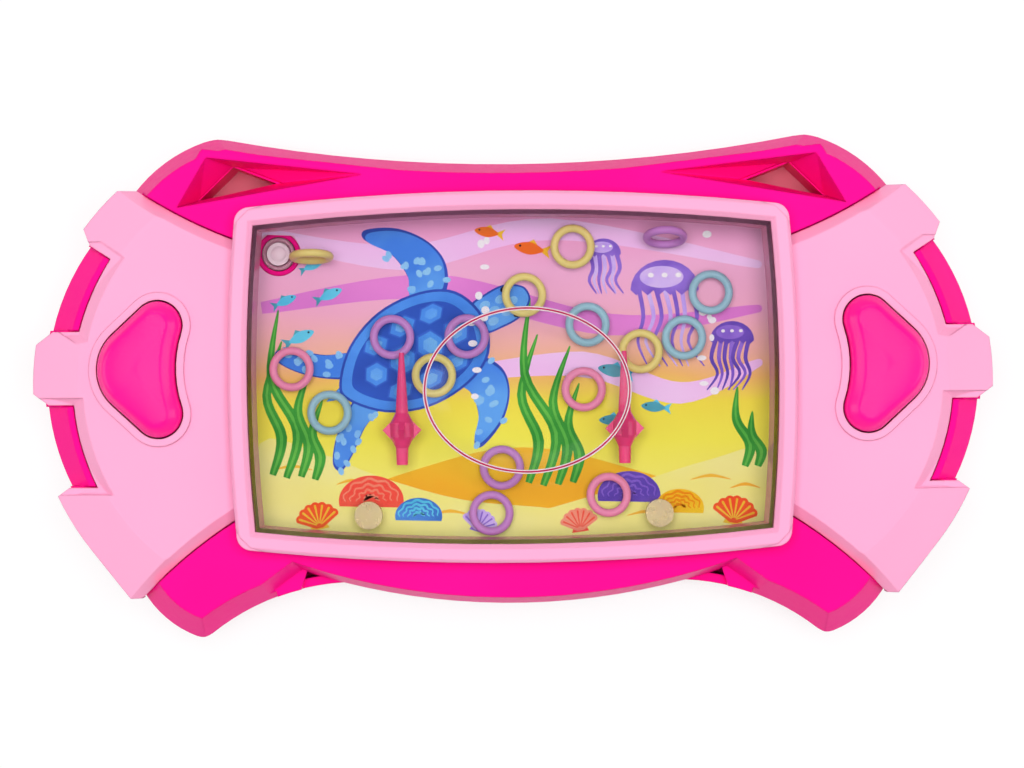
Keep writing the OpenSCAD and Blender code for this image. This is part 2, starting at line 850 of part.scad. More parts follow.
module front_cover() {
    color(pale_pink) difference() {
        union() {
            difference() {
                union() {
                    slab(flange_z, bezel_z - 0.8) barrel(0);
                    barrel_taper(bezel_z - 0.8, bezel_z, 0, 0.6);
                }
                slab(flange_z - 1, lip_z) barrel(tank_inset - seam);
                slab(lip_z - 1, lip_z + 0.9) barrel(bezel_bar);
                barrel_taper(lip_z + 0.9, bezel_z + eps, bezel_bar, bezel_bar - 1);
            }
            both_sides() wing();
        }
        both_sides() {
            slab(deck_z - 3, wing_z + 3) kidney(button_gap);
            for (p = cover_screw_at) translate([p[0], p[1], deck_z - 1])
                cylinder(h = 4.2, r = small_screw_r + snug, $fn = 32);
        }
    }
}

// Tank

module dish(drop, grow) {
    steps = 6;
    turn = 78;
    translate([dish_at[0], dish_at[1], tank_top]) scale([1, (dish_b + grow) / (dish_a + grow), 1])
        rotate_extrude($fn = 48) polygon(concat(
            [[0, 2], [dish_a + grow, 2]],
            [for (i = [0 : steps]) let (a = turn * i / steps)
                [(dish_a + grow) * cos(a), -drop * sin(a)]],
            [[0, -drop * sin(turn)]]));
}

module tank_front() {
    color(glassy) difference() {
        union() {
            slab(plate_z, tank_top) barrel(tank_inset);
            slab(plate_z, flange_z) barrel(flange_inset);
        }
        difference() {
            slab(plate_z - 1, glass_z) barrel(inner_inset);
            dish(dish_depth + plate_t, plate_t / 2);
        }
        dish(dish_depth, 0);
    }
}

module tank_back() {
    color(glassy) difference() {
        union() {
            slab(tank_base, plate_z) barrel(flange_inset);
            slab(neck_end, tank_base) disc(neck_at, neck_r);
            for (s = [-1, 1]) slab(tank_base - 2.5, tank_base)
                disc([s * spike_x, hub_y], stud_r + 1.2);
        }
        slab(neck_end - 1, plate_z + 1) disc(neck_at, neck_bore);
        for (s = [-1, 1]) {
            slab(tank_base - 1.6, plate_z + 1) disc([s * spike_x, hub_y], stud_r + snug);
            slab(tank_base - 1, plate_z + 1) disc([s * jet_at[0], jet_at[1]], hose_r + snug);
        }
    }
}

module picture_card() {
    color("#8fc4e8") slab(card_z, tank_base) difference() {
        barrel(card_inset);
        disc(neck_at, card_hole_r);
        for (s = [-1, 1]) {
            disc([s * spike_x, hub_y], stud_r + 1.2 + pass);
            disc([s * jet_at[0], jet_at[1]], hose_r + pass);
        }
    }
}

// Rings and spikes

module ring(i) {
    p = ring_places[i];
    centre_r = (ring_d - ring_wire) / 2;
    rise = p[2] > 0 ? centre_r * sin(p[2]) : 0;
    color(ring_colours[p[3]])
        translate([p[0], p[1], plate_z + ring_gap + ring_wire / 2 + rise])
            rotate([p[2], 0, 0])
                rotate_extrude($fn = 48) translate([centre_r, 0]) circle(r = ring_wire / 2, $fn = 16);
}

// Spike with a finned hub, lying along Y, on a stud that stands in the back plate
module spike() {
    core = hub_r * 0.62;
    land = stud_r + 0.2;
    color("#ff4fa3") translate([spike_x, hub_y, 0]) {
        translate([0, 0, tank_base - 1.5]) cylinder(h = spike_z - tank_base + 0.9, r = stud_r);
        translate([0, 0, spike_z]) {
            rotate([-90, 0, 0]) rotate_extrude() polygon([
                [0, -hub_back - tail_l], [spike_r * 0.9, -hub_back - tail_l], [spike_r, -hub_back],
                [core, -land], [core, land], [spike_r, hub_front], [tip_r, hub_front + spike_l],
                [0, hub_front + spike_l]]);
            for (turn = [0, 90]) rotate([0, turn, 0])
                translate([0, 0, -0.6]) linear_extrude(1.2) hub_fin();
        }
    }
}

module hub_fin() {
    polygon([[0, hub_front + 0.6], [hub_r, 0], [0, -hub_back - 0.6], [-hub_r, 0]]);
}

// Buttons

module button() {
    color(magenta) {
        difference() {
            intersection() {
                slab(button_low, button_z) kidney();
                translate([button_at[0] - 1, button_at[1], button_z - crown_r]) sphere(r = crown_r, $fn = 180);
            }
            slab(button_low - 1, button_z - 2.6 - button_wall) kidney(-button_wall);
        }
        difference() {
            slab(button_low, button_low + button_flange_t) kidney(flange_out);
            slab(button_low - 1, button_low + 3) kidney(-button_wall);
        }
        slab(button_low, button_z - 2.6 - button_wall + eps) disc(pump_at, 4.6);
    }
}

// Pumps

module bellows() {
    collar = 1;
    cap = 1;
    body = bellows_top - pump_top - collar - cap;
    fold = body / bellows_folds;
    valley = bellows_r - 1.7;
    z0 = pump_top + collar;
    // Zigzag from the collar to the cap, drawn in by w
    function zigzag(w) = [for (i = [0 : 2 * bellows_folds])
        [(i % 2 == 0 ? valley : bellows_r) - w, z0 + i * fold / 2]];
    color(rubber_white) translate([pump_at[0], pump_at[1], 0]) rotate_extrude() polygon(concat(
        [[valley - bellows_wall, pump_top], [pump_r - 0.4, pump_top], [pump_r - 0.4, z0]],
        zigzag(0),
        [[valley, bellows_top], [0, bellows_top], [0, bellows_top - cap]],
        [for (i = [2 * bellows_folds : -1 : 0]) zigzag(bellows_wall)[i]]));
}

module pump_base() {
    color(pale_pink) difference() {
        union() {
            slab(floor_t, pump_top) disc(pump_at, pump_r);
            for (p = lug_places()) slab(lug_z, lug_z + lug_t) {
                disc(p, lug_r);
                lug_web(p);
            }
            pump_spigot(spigot_r, spigot_l);
        }
        slab(floor_t + 1.4, pump_top + 1) disc(pump_at, bellows_r - 2.6);
        pump_spigot(spigot_r - 0.6, spigot_l + 1);
        for (p = lug_places()) slab(lug_z - 1, lug_z + lug_t + 1) disc(p, small_screw_r + pass / 2);
    }
}

// Bar that joins a lug to the pump base
module lug_web(p) {
    d = unit(p - pump_at);
    n = [-d[1], d[0]] * lug_r;
    polygon([pump_at + n, p + n, p - n, pump_at - n]);
}

module pump_spigot(r, l) {
    translate([pump_at[0], pump_at[1], hose_z]) rotate([0, 0, hose_angle() + 180])
        rotate([0, 90, 0]) translate([0, 0, pump_r - 3]) cylinder(h = l + 3, r = r, $fn = 32);
}

// Hose from the pump's spigot along the floor, and up to the jet
module hose() {
    run = hose_length() - 0.3 - hose_bend;
    top = card_z - 0.5;
    color([0.92, 0.95, 0.96, 0.6]) translate([jet_at[0], jet_at[1], 0]) rotate([0, 0, hose_angle()]) {
        translate([0, 0, hose_z + hose_bend]) linear_extrude(top - hose_z - hose_bend) hose_ring();
        translate([hose_bend, 0, hose_z + hose_bend]) rotate([-90, 0, 0]) rotate([0, 0, 90])
            rotate_extrude(angle = 90, $fn = 96) translate([hose_bend, 0]) hose_ring();
        translate([hose_bend, 0, hose_z]) rotate([0, 90, 0]) linear_extrude(run) hose_ring();
    }
}

module hose_ring() {
    difference() {
        circle(r = hose_r, $fn = 32);
        circle(r = hose_bore, $fn = 32);
    }
}

// Jet that stands on the tank's back plate and blows along +Y
module jet() {
    head = hose_r + 0.7;
    low = hose_z + hose_bend + 0.1;
    color(glassy) difference() {
        union() {
            slab(plate_z, plate_z + jet_h) disc(jet_at, head);
            slab(card_z, plate_z) disc(jet_at, hose_r);
            slab(low, card_z) disc(jet_at, spigot_r);
        }
        slab(low - 1, plate_z + jet_h - 1) disc(jet_at, jet_bore);
        translate([jet_at[0], jet_at[1], plate_z + jet_h - 1.4]) rotate([-90, 0, 0])
            cylinder(h = head + 1, r = jet_bore / 1.5, $fn = 24);
    }
}

// Plug, screws

module filler_plug() {
    color(rubber_white) translate([neck_at[0], neck_at[1], 0]) difference() {
        union() {
            translate([0, 0, plug_z]) cylinder(h = neck_end - plug_z - 0.2, r = neck_r + 0.6);
            translate([0, 0, plug_z]) cylinder(h = plate_z - plug_z - 1.4, r = neck_bore - snug);
        }
        translate([0, 0, plug_z + 3]) cylinder(h = plate_z, r = neck_bore - 0.8);
        translate([0, 0, plug_z - 0.6]) cylinder(h = 1.2, r = 1.2);
    }
}

module screw(r, head_r, z_head, length) {
    translate([0, 0, z_head]) difference() {
        union() {
            cylinder(h = head_t, r = head_r, $fn = 48);
            cylinder(h = head_t + length, r = r, $fn = 32);
        }
        for (a = [0, 90]) rotate([0, 0, a])
            translate([-head_r * 0.6, -0.35, -1]) cube([head_r * 1.2, 0.7, 1.9]);
    }
}

module case_screws() {
    color(steel) both_sides() for (p = case_screw_at)
        translate([p[0], p[1], 0])
            screw(screw_r, screw_head_r, screw_seat - head_t, screw_tip - screw_seat);
}

module cover_screws() {
    color(steel) both_sides() for (p = cover_screw_at)
        translate([p[0], p[1], 0])
            screw(small_screw_r, small_head_r, deck_z - deck_t - head_t, cover_screw_l - 1.2);
}

module pump_screws() {
    color(steel) both_sides() for (p = lug_places())
        translate([p[0], p[1], 2 * lug_z + 2 * lug_t]) mirror([0, 0, 1]) translate([0, 0, lug_z + lug_t])
            translate([0, 0, -head_t]) screw(small_screw_r, small_head_r, 0, lug_t + 2.4);
}

rear_shell();
front_shell();
front_cover();
tank_front();
tank_back();
picture_card();
mirror([1, 0, 0]) spike();  // left_spike
spike();  // right_spike
mirror([1, 0, 0]) button();  // left_button
button();  // right_button
mirror([1, 0, 0]) bellows();  // left_bellows
bellows();  // right_bellows
mirror([1, 0, 0]) pump_base();  // left_pump_base
pump_base();  // right_pump_base
mirror([1, 0, 0]) hose();  // left_hose
hose();  // right_hose
mirror([1, 0, 0]) jet();  // left_jet
jet();  // right_jet
filler_plug();
case_screws();
cover_screws();
pump_screws();
for (i = [0 : ring_count - 1]) ring(i);
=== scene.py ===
import bpy, bmesh, math, random
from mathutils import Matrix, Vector


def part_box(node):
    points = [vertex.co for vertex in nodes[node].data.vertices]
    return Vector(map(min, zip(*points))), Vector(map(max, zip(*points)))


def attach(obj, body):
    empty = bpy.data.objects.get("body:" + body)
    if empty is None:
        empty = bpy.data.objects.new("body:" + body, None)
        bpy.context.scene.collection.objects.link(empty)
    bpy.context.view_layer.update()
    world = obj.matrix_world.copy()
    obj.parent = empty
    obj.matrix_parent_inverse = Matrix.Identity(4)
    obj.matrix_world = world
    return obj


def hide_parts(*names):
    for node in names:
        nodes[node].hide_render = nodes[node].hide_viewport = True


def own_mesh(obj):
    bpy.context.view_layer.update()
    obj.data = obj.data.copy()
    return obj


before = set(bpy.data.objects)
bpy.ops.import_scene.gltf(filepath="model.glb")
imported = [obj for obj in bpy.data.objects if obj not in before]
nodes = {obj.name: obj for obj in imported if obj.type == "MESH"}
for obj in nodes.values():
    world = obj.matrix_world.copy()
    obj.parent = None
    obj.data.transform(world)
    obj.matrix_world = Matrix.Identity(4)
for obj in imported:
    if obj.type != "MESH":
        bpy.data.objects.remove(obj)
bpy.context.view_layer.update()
mm = 0.001
dice = random.Random(7)
print("water game: frame loaded,", len(nodes), "nodes")


# helpers for the materials

def linear(code):
    # a hex colour as it looks on screen, in linear light
    parts = [int(code[i:i + 2], 16) / 255 for i in (1, 3, 5)]
    return tuple(c / 12.92 if c <= 0.04045 else ((c + 0.055) / 1.055) ** 2.4 for c in parts) + (1,)


def newMaterial(name):
    mat = bpy.data.materials.new(name)
    mat.use_nodes = True
    tree = mat.node_tree
    return mat, tree, tree.nodes["Principled BSDF"]


def objectNoise(tree, scale, detail=3, roughness=0.5):
    coord = tree.nodes.new("ShaderNodeTexCoord")
    noise = tree.nodes.new("ShaderNodeTexNoise")
    noise.inputs["Scale"].default_value = scale
    noise.inputs["Detail"].default_value = detail
    noise.inputs["Roughness"].default_value = roughness
    tree.links.new(coord.outputs["Object"], noise.inputs["Vector"])
    return noise.outputs["Fac"]


def spread(tree, value, low, high, fromLow=0.3, fromHigh=0.7):
    node = tree.nodes.new("ShaderNodeMapRange")
    node.inputs["From Min"].default_value = fromLow
    node.inputs["From Max"].default_value = fromHigh
    node.inputs["To Min"].default_value = low
    node.inputs["To Max"].default_value = high
    tree.links.new(value, node.inputs["Value"])
    return node.outputs["Result"]


def mathNode(tree, operation, *values):
    # each value is a number or another node's output
    node = tree.nodes.new("ShaderNodeMath")
    node.operation = operation
    for slot, value in zip(node.inputs, values):
        if isinstance(value, bpy.types.NodeSocket):
            tree.links.new(value, slot)
        else:
            slot.default_value = value
    return node.outputs[0]


def objectAxis(tree, axis):
    coord = tree.nodes.new("ShaderNodeTexCoord")
    axes = tree.nodes.new("ShaderNodeSeparateXYZ")
    tree.links.new(coord.outputs["Object"], axes.inputs[0])
    return axes.outputs[axis]


def toneMix(tree, factor, first, second):
    node = tree.nodes.new("ShaderNodeMix")
    node.data_type = "RGBA"
    tree.links.new(factor, node.inputs["Factor"])
    node.inputs["A"].default_value = first
    node.inputs["B"].default_value = second
    return node.outputs["Result"]


# camera and studio

cameraSetup = {
    "height": 0.700,        # metres above the table
    "offsetX": -0.0002,
    "offsetY": 0.0001,
    "lens": 118.8,          # on a 36 mm sensor
    "roll": -0.5,           # degrees
}

studio = {
    "floorSize": 3.0,
    "floorTone": 0.93,
    "paintedBounceTone": (0.80, 0.20, 0.28, 1),    # painted bounce light: the rosy tint the floor takes where the walls of a deep hole close it in
    "holeReach": 0.045,     # metres to the walls that count as near
    "holeShare": (0.24, 0.42),            # open sky in a deep hole and beside one
    "floorGlow": 0.85,      # share of the floor that glows white for the camera
    "skyHigh": 0.06,        # brightness of the room straight above
    "skyLow": 0.30,         # and near the horizon
    "skySpan": (0.35, 0.95),
    "sidePower": 0.45,
    "sideSize": (0.30, 0.50),
    "sideAt": (0.46, -0.02, 0.36),
    "farPower": 0.3,
    "topPower": 11.6,
}


def makeCamera(setup):
    cam = bpy.data.cameras.new("studioCamera")
    cam.lens = setup["lens"]
    cam.sensor_width = 36
    cam.clip_start = 0.01
    obj = bpy.data.objects.new("studioCamera", cam)
    obj.location = (setup["offsetX"], setup["offsetY"], setup["height"])
    obj.rotation_euler = (0, 0, math.radians(setup["roll"]))
    bpy.context.scene.collection.objects.link(obj)
    bpy.context.scene.camera = obj


def softBox(name, at, size, power):
    lamp = bpy.data.lights.new(name, "AREA")
    lamp.shape = "RECTANGLE"
    lamp.size, lamp.size_y = size
    lamp.energy = power
    obj = bpy.data.objects.new(name, lamp)
    obj.location = at
    obj.rotation_euler = (Vector((0, 0, 0.02)) - Vector(at)).to_track_quat("-Z", "Y").to_euler()
    bpy.context.scene.collection.objects.link(obj)


def seenFactor(tree):
    # 1 for camera, glossy and transmission rays: metal and glass show the white floor too
    path = tree.nodes.new("ShaderNodeLightPath")
    total = path.outputs["Is Camera Ray"]
    for name in ("Is Glossy Ray", "Is Transmission Ray"):
        total = mathNode(tree, "MAXIMUM", total, path.outputs[name])
    return total


def makeStudio(setup):
    scene = bpy.context.scene
    scene.view_settings.view_transform = "Standard"
    world = bpy.data.worlds.new("studioWorld")
    scene.world = world
    world.use_nodes = True
    tree = world.node_tree
    back = tree.nodes["Background"]
    back.inputs["Color"].default_value = (1, 1, 1, 1)
    # a dim ceiling over a bright horizon, as between two softboxes
    coord = tree.nodes.new("ShaderNodeTexCoord")
    axes = tree.nodes.new("ShaderNodeSeparateXYZ")
    tree.links.new(coord.outputs["Generated"], axes.inputs[0])
    tree.links.new(spread(tree, axes.outputs["Z"], setup["skyLow"], setup["skyHigh"], *setup["skySpan"]),
                   back.inputs["Strength"])

    x, y, z = setup["sideAt"]
    for name, s in (("leftSoftBox", -1), ("rightSoftBox", 1)):
        softBox(name, (s * x, y, z), setup["sideSize"], setup["sidePower"])
    softBox("farSoftBox", (0, 0.55, 0.60), (0.7, 0.3), setup["farPower"])
    softBox("topSoftBox", (0.02, 0.06, 1.1), (0.7, 0.5), setup["topPower"])
    bpy.data.objects["topSoftBox"].visible_glossy = False     # no veil over the window

    mesh = bpy.data.meshes.new("tableTop")
    h = setup["floorSize"] / 2
    mesh.from_pydata([(-h, -h, 0), (h, -h, 0), (h, h, 0), (-h, h, 0)], [], [(0, 1, 2, 3)])
    floor = bpy.data.objects.new("tableTop", mesh)
    floor.location.z = -0.00025
    scene.collection.objects.link(floor)
    mat = bpy.data.materials.new("tableWhite")
    mat.use_nodes = True
    tree = mat.node_tree
    body = tree.nodes["Principled BSDF"]
    tone = setup["floorTone"]
    body.inputs["Roughness"].default_value = 0.9
    glow = tree.nodes.new("ShaderNodeEmission")
    glow.inputs["Color"].default_value = (1, 1, 1, 1)
    # deep down in the horn holes the floor doesn't glow, and its colour turns to a painted rosy bounce light
    # from the magenta walls
    openSky = tree.nodes.new("ShaderNodeAmbientOcclusion")
    openSky.samples = 12
    openSky.inputs["Distance"].default_value = setup["holeReach"]
    isOpen = spread(tree, openSky.outputs["AO"], 0, 1, *setup["holeShare"])
    tree.links.new(toneMix(tree, isOpen, setup["paintedBounceTone"], (tone, tone, tone, 1)), body.inputs["Base Color"])
    glowing = mathNode(tree, "MULTIPLY", isOpen, setup["floorGlow"])
    blend = tree.nodes.new("ShaderNodeMixShader")
    tree.links.new(mathNode(tree, "MULTIPLY", seenFactor(tree), glowing), blend.inputs["Fac"])
    tree.links.new(body.outputs[0], blend.inputs[1])
    tree.links.new(glow.outputs[0], blend.inputs[2])
    tree.links.new(blend.outputs[0], tree.nodes["Material Output"].inputs["Surface"])
    mesh.materials.append(mat)


makeCamera(cameraSetup)
makeStudio(studio)
print("water game: camera and studio ready")


# materials

def mouldedPlastic(name, look):
    mat, tree, body = newMaterial(name)
    cloudy = objectNoise(tree, look["cloudScale"], 2)
    tree.links.new(toneMix(tree, spread(tree, cloudy, 0, 1), linear(look["tone"]), linear(look["shade"])),
                   body.inputs["Base Color"])
    fine = objectNoise(tree, look["grainScale"], 4, 0.6)
    tree.links.new(spread(tree, fine, look["rough"] - 0.04, look["rough"] + 0.05), body.inputs["Roughness"])
    bump = tree.nodes.new("ShaderNodeBump")
    bump.inputs["Strength"].default_value = look["grain"]
    bump.inputs["Distance"].default_value = 0.00003
    tree.links.new(fine, bump.inputs["Height"])
    tree.links.new(bump.outputs[0], body.inputs["Normal"])
    if look.get("edge"):
        worn = tree.nodes.new("ShaderNodeBevel")
        worn.samples = 4
        worn.inputs["Radius"].default_value = look["edge"]
        tree.links.new(worn.outputs[0], bump.inputs["Normal"])
    body.inputs["Specular IOR Level"].default_value = look.get("gloss", 0.45)
    if look.get("clear"):
        body.inputs["Transmission Weight"].default_value = look["clear"]
        body.inputs["IOR"].default_value = 1.45
    if look.get("coat"):
        body.inputs["Coat Weight"].default_value = look["coat"]
        body.inputs["Coat Roughness"].default_value = 0.12
    return mat


plasticLooks = {
    "magentaPlastic": {"tone": "#ff1192", "shade": "#fb0d8a", "cloudScale": 25, "grainScale": 900,
                       "rough": 0.38, "grain": 0.25, "gloss": 0.07, "edge": 0.0007},
    "buttonPlastic": {"tone": "#ff1494", "shade": "#fb0f8c", "cloudScale": 30, "grainScale": 700,
                      "rough": 0.22, "grain": 0.12, "gloss": 0.4, "coat": 0.25},
    "palePlastic": {"tone": "#f8a7cb", "shade": "#f6a3c8", "cloudScale": 25, "grainScale": 900,
                    "rough": 0.36, "grain": 0.25, "gloss": 0.15, "edge": 0.0005},
    "ringYellow": {"tone": "#f3e78c", "shade": "#efe28a", "cloudScale": 120, "grainScale": 700,
                   "rough": 0.33, "grain": 0.15, "clear": 0.28},
    "ringBlue": {"tone": "#a6d6e2", "shade": "#9fd0de", "cloudScale": 120, "grainScale": 700,
                 "rough": 0.33, "grain": 0.15, "clear": 0.28},
    "ringPurple": {"tone": "#cf92d8", "shade": "#c98bd3", "cloudScale": 120, "grainScale": 700,
                   "rough": 0.33, "grain": 0.15, "clear": 0.25},
    "ringPink": {"tone": "#f79cbf", "shade": "#f394ba", "cloudScale": 120, "grainScale": 700,
                 "rough": 0.33, "grain": 0.15, "clear": 0.22},
    # painted reflection: the red of the magenta case mirrored in the rim of the dish
    "rimReflectionRed": {"tone": "#cf1c5c", "shade": "#b81450", "cloudScale": 240, "grainScale": 600,
                   "rough": 0.12, "grain": 0.1, "clear": 0.2, "coat": 1.0},
    # the filler dome's own whitish colour, also the painted highlights beside the window rim
    "domeWhiteAndGlint": {"tone": "#f3e4ea", "shade": "#ecd8e2", "cloudScale": 240, "grainScale": 700,
                    "rough": 0.2, "grain": 0.1, "clear": 0.2, "coat": 0.6},
    "neckPlastic": {"tone": "#e7b3c4", "shade": "#d998b0", "cloudScale": 500, "grainScale": 700,
                    "rough": 0.12, "grain": 0.1, "clear": 0.45, "coat": 1.0},
    "jetPlastic": {"tone": "#efe0a0", "shade": "#e8d696", "cloudScale": 200, "grainScale": 600,
                   "rough": 0.25, "grain": 0.1, "clear": 0.5},
    "spikePlastic": {"tone": "#ff4f92", "shade": "#fb4088", "cloudScale": 90, "grainScale": 600,
                     "rough": 0.18, "grain": 0.1, "clear": 0.35, "coat": 0.5},
    "softRubber": {"tone": "#f2e6e0", "shade": "#ecdcd6", "cloudScale": 60, "grainScale": 800,
                   "rough": 0.5, "grain": 0.3, "clear": 0.15},
}
plastics = {name: mouldedPlastic(name, look) for name, look in plasticLooks.items()}


clearForm = {
    "steepness": 4,         # how sharply the reflection grows at a low angle
    "rimShine": 0.5,
    "wallSpan": (0.15, 0.4),              # how upright a face is that counts as a wall, and as a plate
}


def clearPlastic(name, look):
    # clear moulding: light goes straight through, and the surface only shines
    mat, tree, body = newMaterial(name)
    tree.nodes.remove(body)
    clear = tree.nodes.new("ShaderNodeBsdfTransparent")
    haze = tree.nodes.new("ShaderNodeBsdfDiffuse")
    haze.inputs["Color"].default_value = linear(look["hazeTone"])
    gloss = tree.nodes.new("ShaderNodeBsdfGlossy")
    cloudy = objectNoise(tree, look["cloudScale"], 3)
    tree.links.new(toneMix(tree, cloudy, linear(look["tone"]), linear(look["shade"])), clear.inputs["Color"])
    fine = objectNoise(tree, look["grainScale"], 3)
    tree.links.new(spread(tree, fine, 0.04, look["rough"]), gloss.inputs["Roughness"])
    wave = objectNoise(tree, look["waveScale"], 1)
    bump = tree.nodes.new("ShaderNodeBump")
    bump.inputs["Strength"].default_value = look["wave"]
    bump.inputs["Distance"].default_value = 0.0002
    tree.links.new(wave, bump.inputs["Height"])
    tree.links.new(bump.outputs[0], gloss.inputs["Normal"])
    # reflects more where it is seen at a low angle, the same from inside and outside
    facing = tree.nodes.new("ShaderNodeLayerWeight")
    facing.inputs["Blend"].default_value = 0.5
    steep = mathNode(tree, "POWER", facing.outputs["Facing"], clearForm["steepness"])
    rim = spread(tree, steep, look["shine"], clearForm["rimShine"], 0, 1)
    milky = tree.nodes.new("ShaderNodeMixShader")
    # upright walls are milky, flat plates clear
    form = tree.nodes.new("ShaderNodeNewGeometry")
    axes = tree.nodes.new("ShaderNodeSeparateXYZ")
    tree.links.new(form.outputs["True Normal"], axes.inputs[0])
    flat = mathNode(tree, "ABSOLUTE", axes.outputs["Z"])
    tree.links.new(spread(tree, flat, look["wallHaze"], look["haze"], *clearForm["wallSpan"]),
                   milky.inputs["Fac"])
    shiny = tree.nodes.new("ShaderNodeMixShader")
    tree.links.new(clear.outputs[0], milky.inputs[1])
    tree.links.new(haze.outputs[0], milky.inputs[2])
    tree.links.new(rim, shiny.inputs["Fac"])
    tree.links.new(milky.outputs[0], shiny.inputs[1])
    tree.links.new(gloss.outputs[0], shiny.inputs[2])
    tree.links.new(shiny.outputs[0], tree.nodes["Material Output"].inputs["Surface"])
    return mat


clearLooks = {
    "windowPlastic": {"tone": "#fefefe", "shade": "#fbf9fb", "hazeTone": "#ffb4d0", "shine": 0.03,
                      "rough": 0.10, "cloudScale": 40, "grainScale": 300, "wave": 0.02, "waveScale": 60,
                      "haze": 0.0, "wallHaze": 0.8},
    "backPlastic": {"tone": "#fefefe", "shade": "#fcfafc", "hazeTone": "#ffc0d8", "shine": 0.01,
                    "rough": 0.10, "cloudScale": 40, "grainScale": 300, "wave": 0.02, "waveScale": 60,
                    "haze": 0.0, "wallHaze": 0.6},
    "hosePlastic": {"tone": "#eef2f4", "shade": "#e4eaec", "hazeTone": "#eef4f6", "shine": 0.04, "rough": 0.2,
                    "cloudScale": 90, "grainScale": 300, "wave": 0.1, "waveScale": 300, "haze": 0.15,
                    "wallHaze": 0.3},
}
clears = {name: clearPlastic(name, look) for name, look in clearLooks.items()}


def platedSteel(name):
    mat, tree, body = newMaterial(name)
    body.inputs["Metallic"].default_value = 1
    swirl = objectNoise(tree, 1500, 4)
    tree.links.new(toneMix(tree, swirl, (0.62, 0.63, 0.66, 1), (0.48, 0.49, 0.52, 1)),
                   body.inputs["Base Color"])
    tree.links.new(spread(tree, swirl, 0.22, 0.38), body.inputs["Roughness"])
    return mat


steel = platedSteel("platedSteel")
cadSharp = 28       # degrees


def smoothed(mesh, sharpFrom):
    # smooth shading, with an edge where two faces meet at more than this angle
    for face in mesh.polygons:
        face.use_smooth = True
    mesh.set_sharp_from_angle(angle=math.radians(sharpFrom))


def dress(name, mat):
    mesh = nodes[name].data
    mesh.materials.clear()
    mesh.materials.append(mat)
    smoothed(mesh, cadSharp)


for name in ("rear_shell", "front_shell"):
    dress(name, plastics["magentaPlastic"])
for name in ("front_cover", "left_pump_base", "right_pump_base"):
    dress(name, plastics["palePlastic"])
for name in ("left_spike", "right_spike"):
    dress(name, plastics["spikePlastic"])
for name in ("left_bellows", "right_bellows"):
    dress(name, plastics["softRubber"])
dress("filler_plug", plastics["domeWhiteAndGlint"])
for name in ("left_hose", "right_hose"):
    dress(name, clears["hosePlastic"])
for name in ("left_jet", "right_jet"):
    dress(name, plastics["jetPlastic"])
dress("tank_front", clears["windowPlastic"])
dress("tank_back", clears["backPlastic"])
for name in ("case_screws", "cover_screws", "pump_screws"):
    dress(name, steel)
ringTones = ["ringYellow", "ringBlue", "ringPurple", "ringPink"]
ringOrder = [0, 0, 2, 1, 1, 0, 0, 1, 2, 2, 0, 3, 1, 3, 2, 2, 3]
for i, tone in enumerate(ringOrder):
    dress("ring_%02d" % (i + 1), plastics[ringTones[tone]])
print("water game: frame dressed")


def placed(build, name, mat, body, sharpFrom=50):
    # a finished mesh as a piece that rides on one body
    bmesh.ops.recalc_face_normals(build, faces=build.faces[:])
    mesh = bpy.data.meshes.new(name)
    build.to_mesh(mesh)
    build.free()
    smoothed(mesh, sharpFrom)
    mesh.materials.append(mat)
    obj = bpy.data.objects.new(name, mesh)
    bpy.context.scene.collection.objects.link(obj)
    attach(obj, body)
    return obj


# buttons

button = {
    "bulgeAt": (73.4, 3.6), "bulgeSize": 9.5,
    "lobeX": 70.8, "lobeSize": 4.8, "lobeStep": 8.8, "dentDepth": 1.4,
    "bottom": 17.3, "rim": 26.6, "ridge": 29.0, "crown": 29.36,
    "shoulder": (1.7, 3.1),       # width of the slope away from the window and beside it
    "shoulderForm": ((0.0, 0.0), (0.06, 0.2), (0.3, 0.52), (0.6, 0.8), (0.82, 0.95), (1.0, 1.0)),
    "crownSteps": (0.93, 0.75, 0.5, 0.25),
    "middle": (75.0, 3.6),
    "sharpFrom": 60,
}


def buttonOutline(shape):
    # each point as an arc centre, a radius, an angle and +1, or -1 where the outline is hollow
    bx, by = shape["bulgeAt"]
    x, r, step, dent = shape["lobeX"], shape["lobeSize"], shape["lobeStep"], shape["dentDepth"]
    hollow = ((r - dent) ** 2 + step ** 2 - r ** 2) / (2 * dent)
    hx = x - (r - dent) - hollow
    turn = math.atan2(step, x - bx) - math.acos((shape["bulgeSize"] - r) / math.hypot(x - bx, step))
    back = math.atan2(step, x - hx)
    arcs = ((bx, by, shape["bulgeSize"], -turn, turn, 20, 1),
            (x, by + step, r, turn, math.pi + back, 26, 1),
            (hx, by, hollow, back, -back, 14, -1),
            (x, by - step, r, math.pi - back, 2 * math.pi - turn, 26, 1))
    return [(cx, cy, size, a0 + (a1 - a0) * i / count, sign)
            for cx, cy, size, a0, a1, count, sign in arcs for i in range(count)]


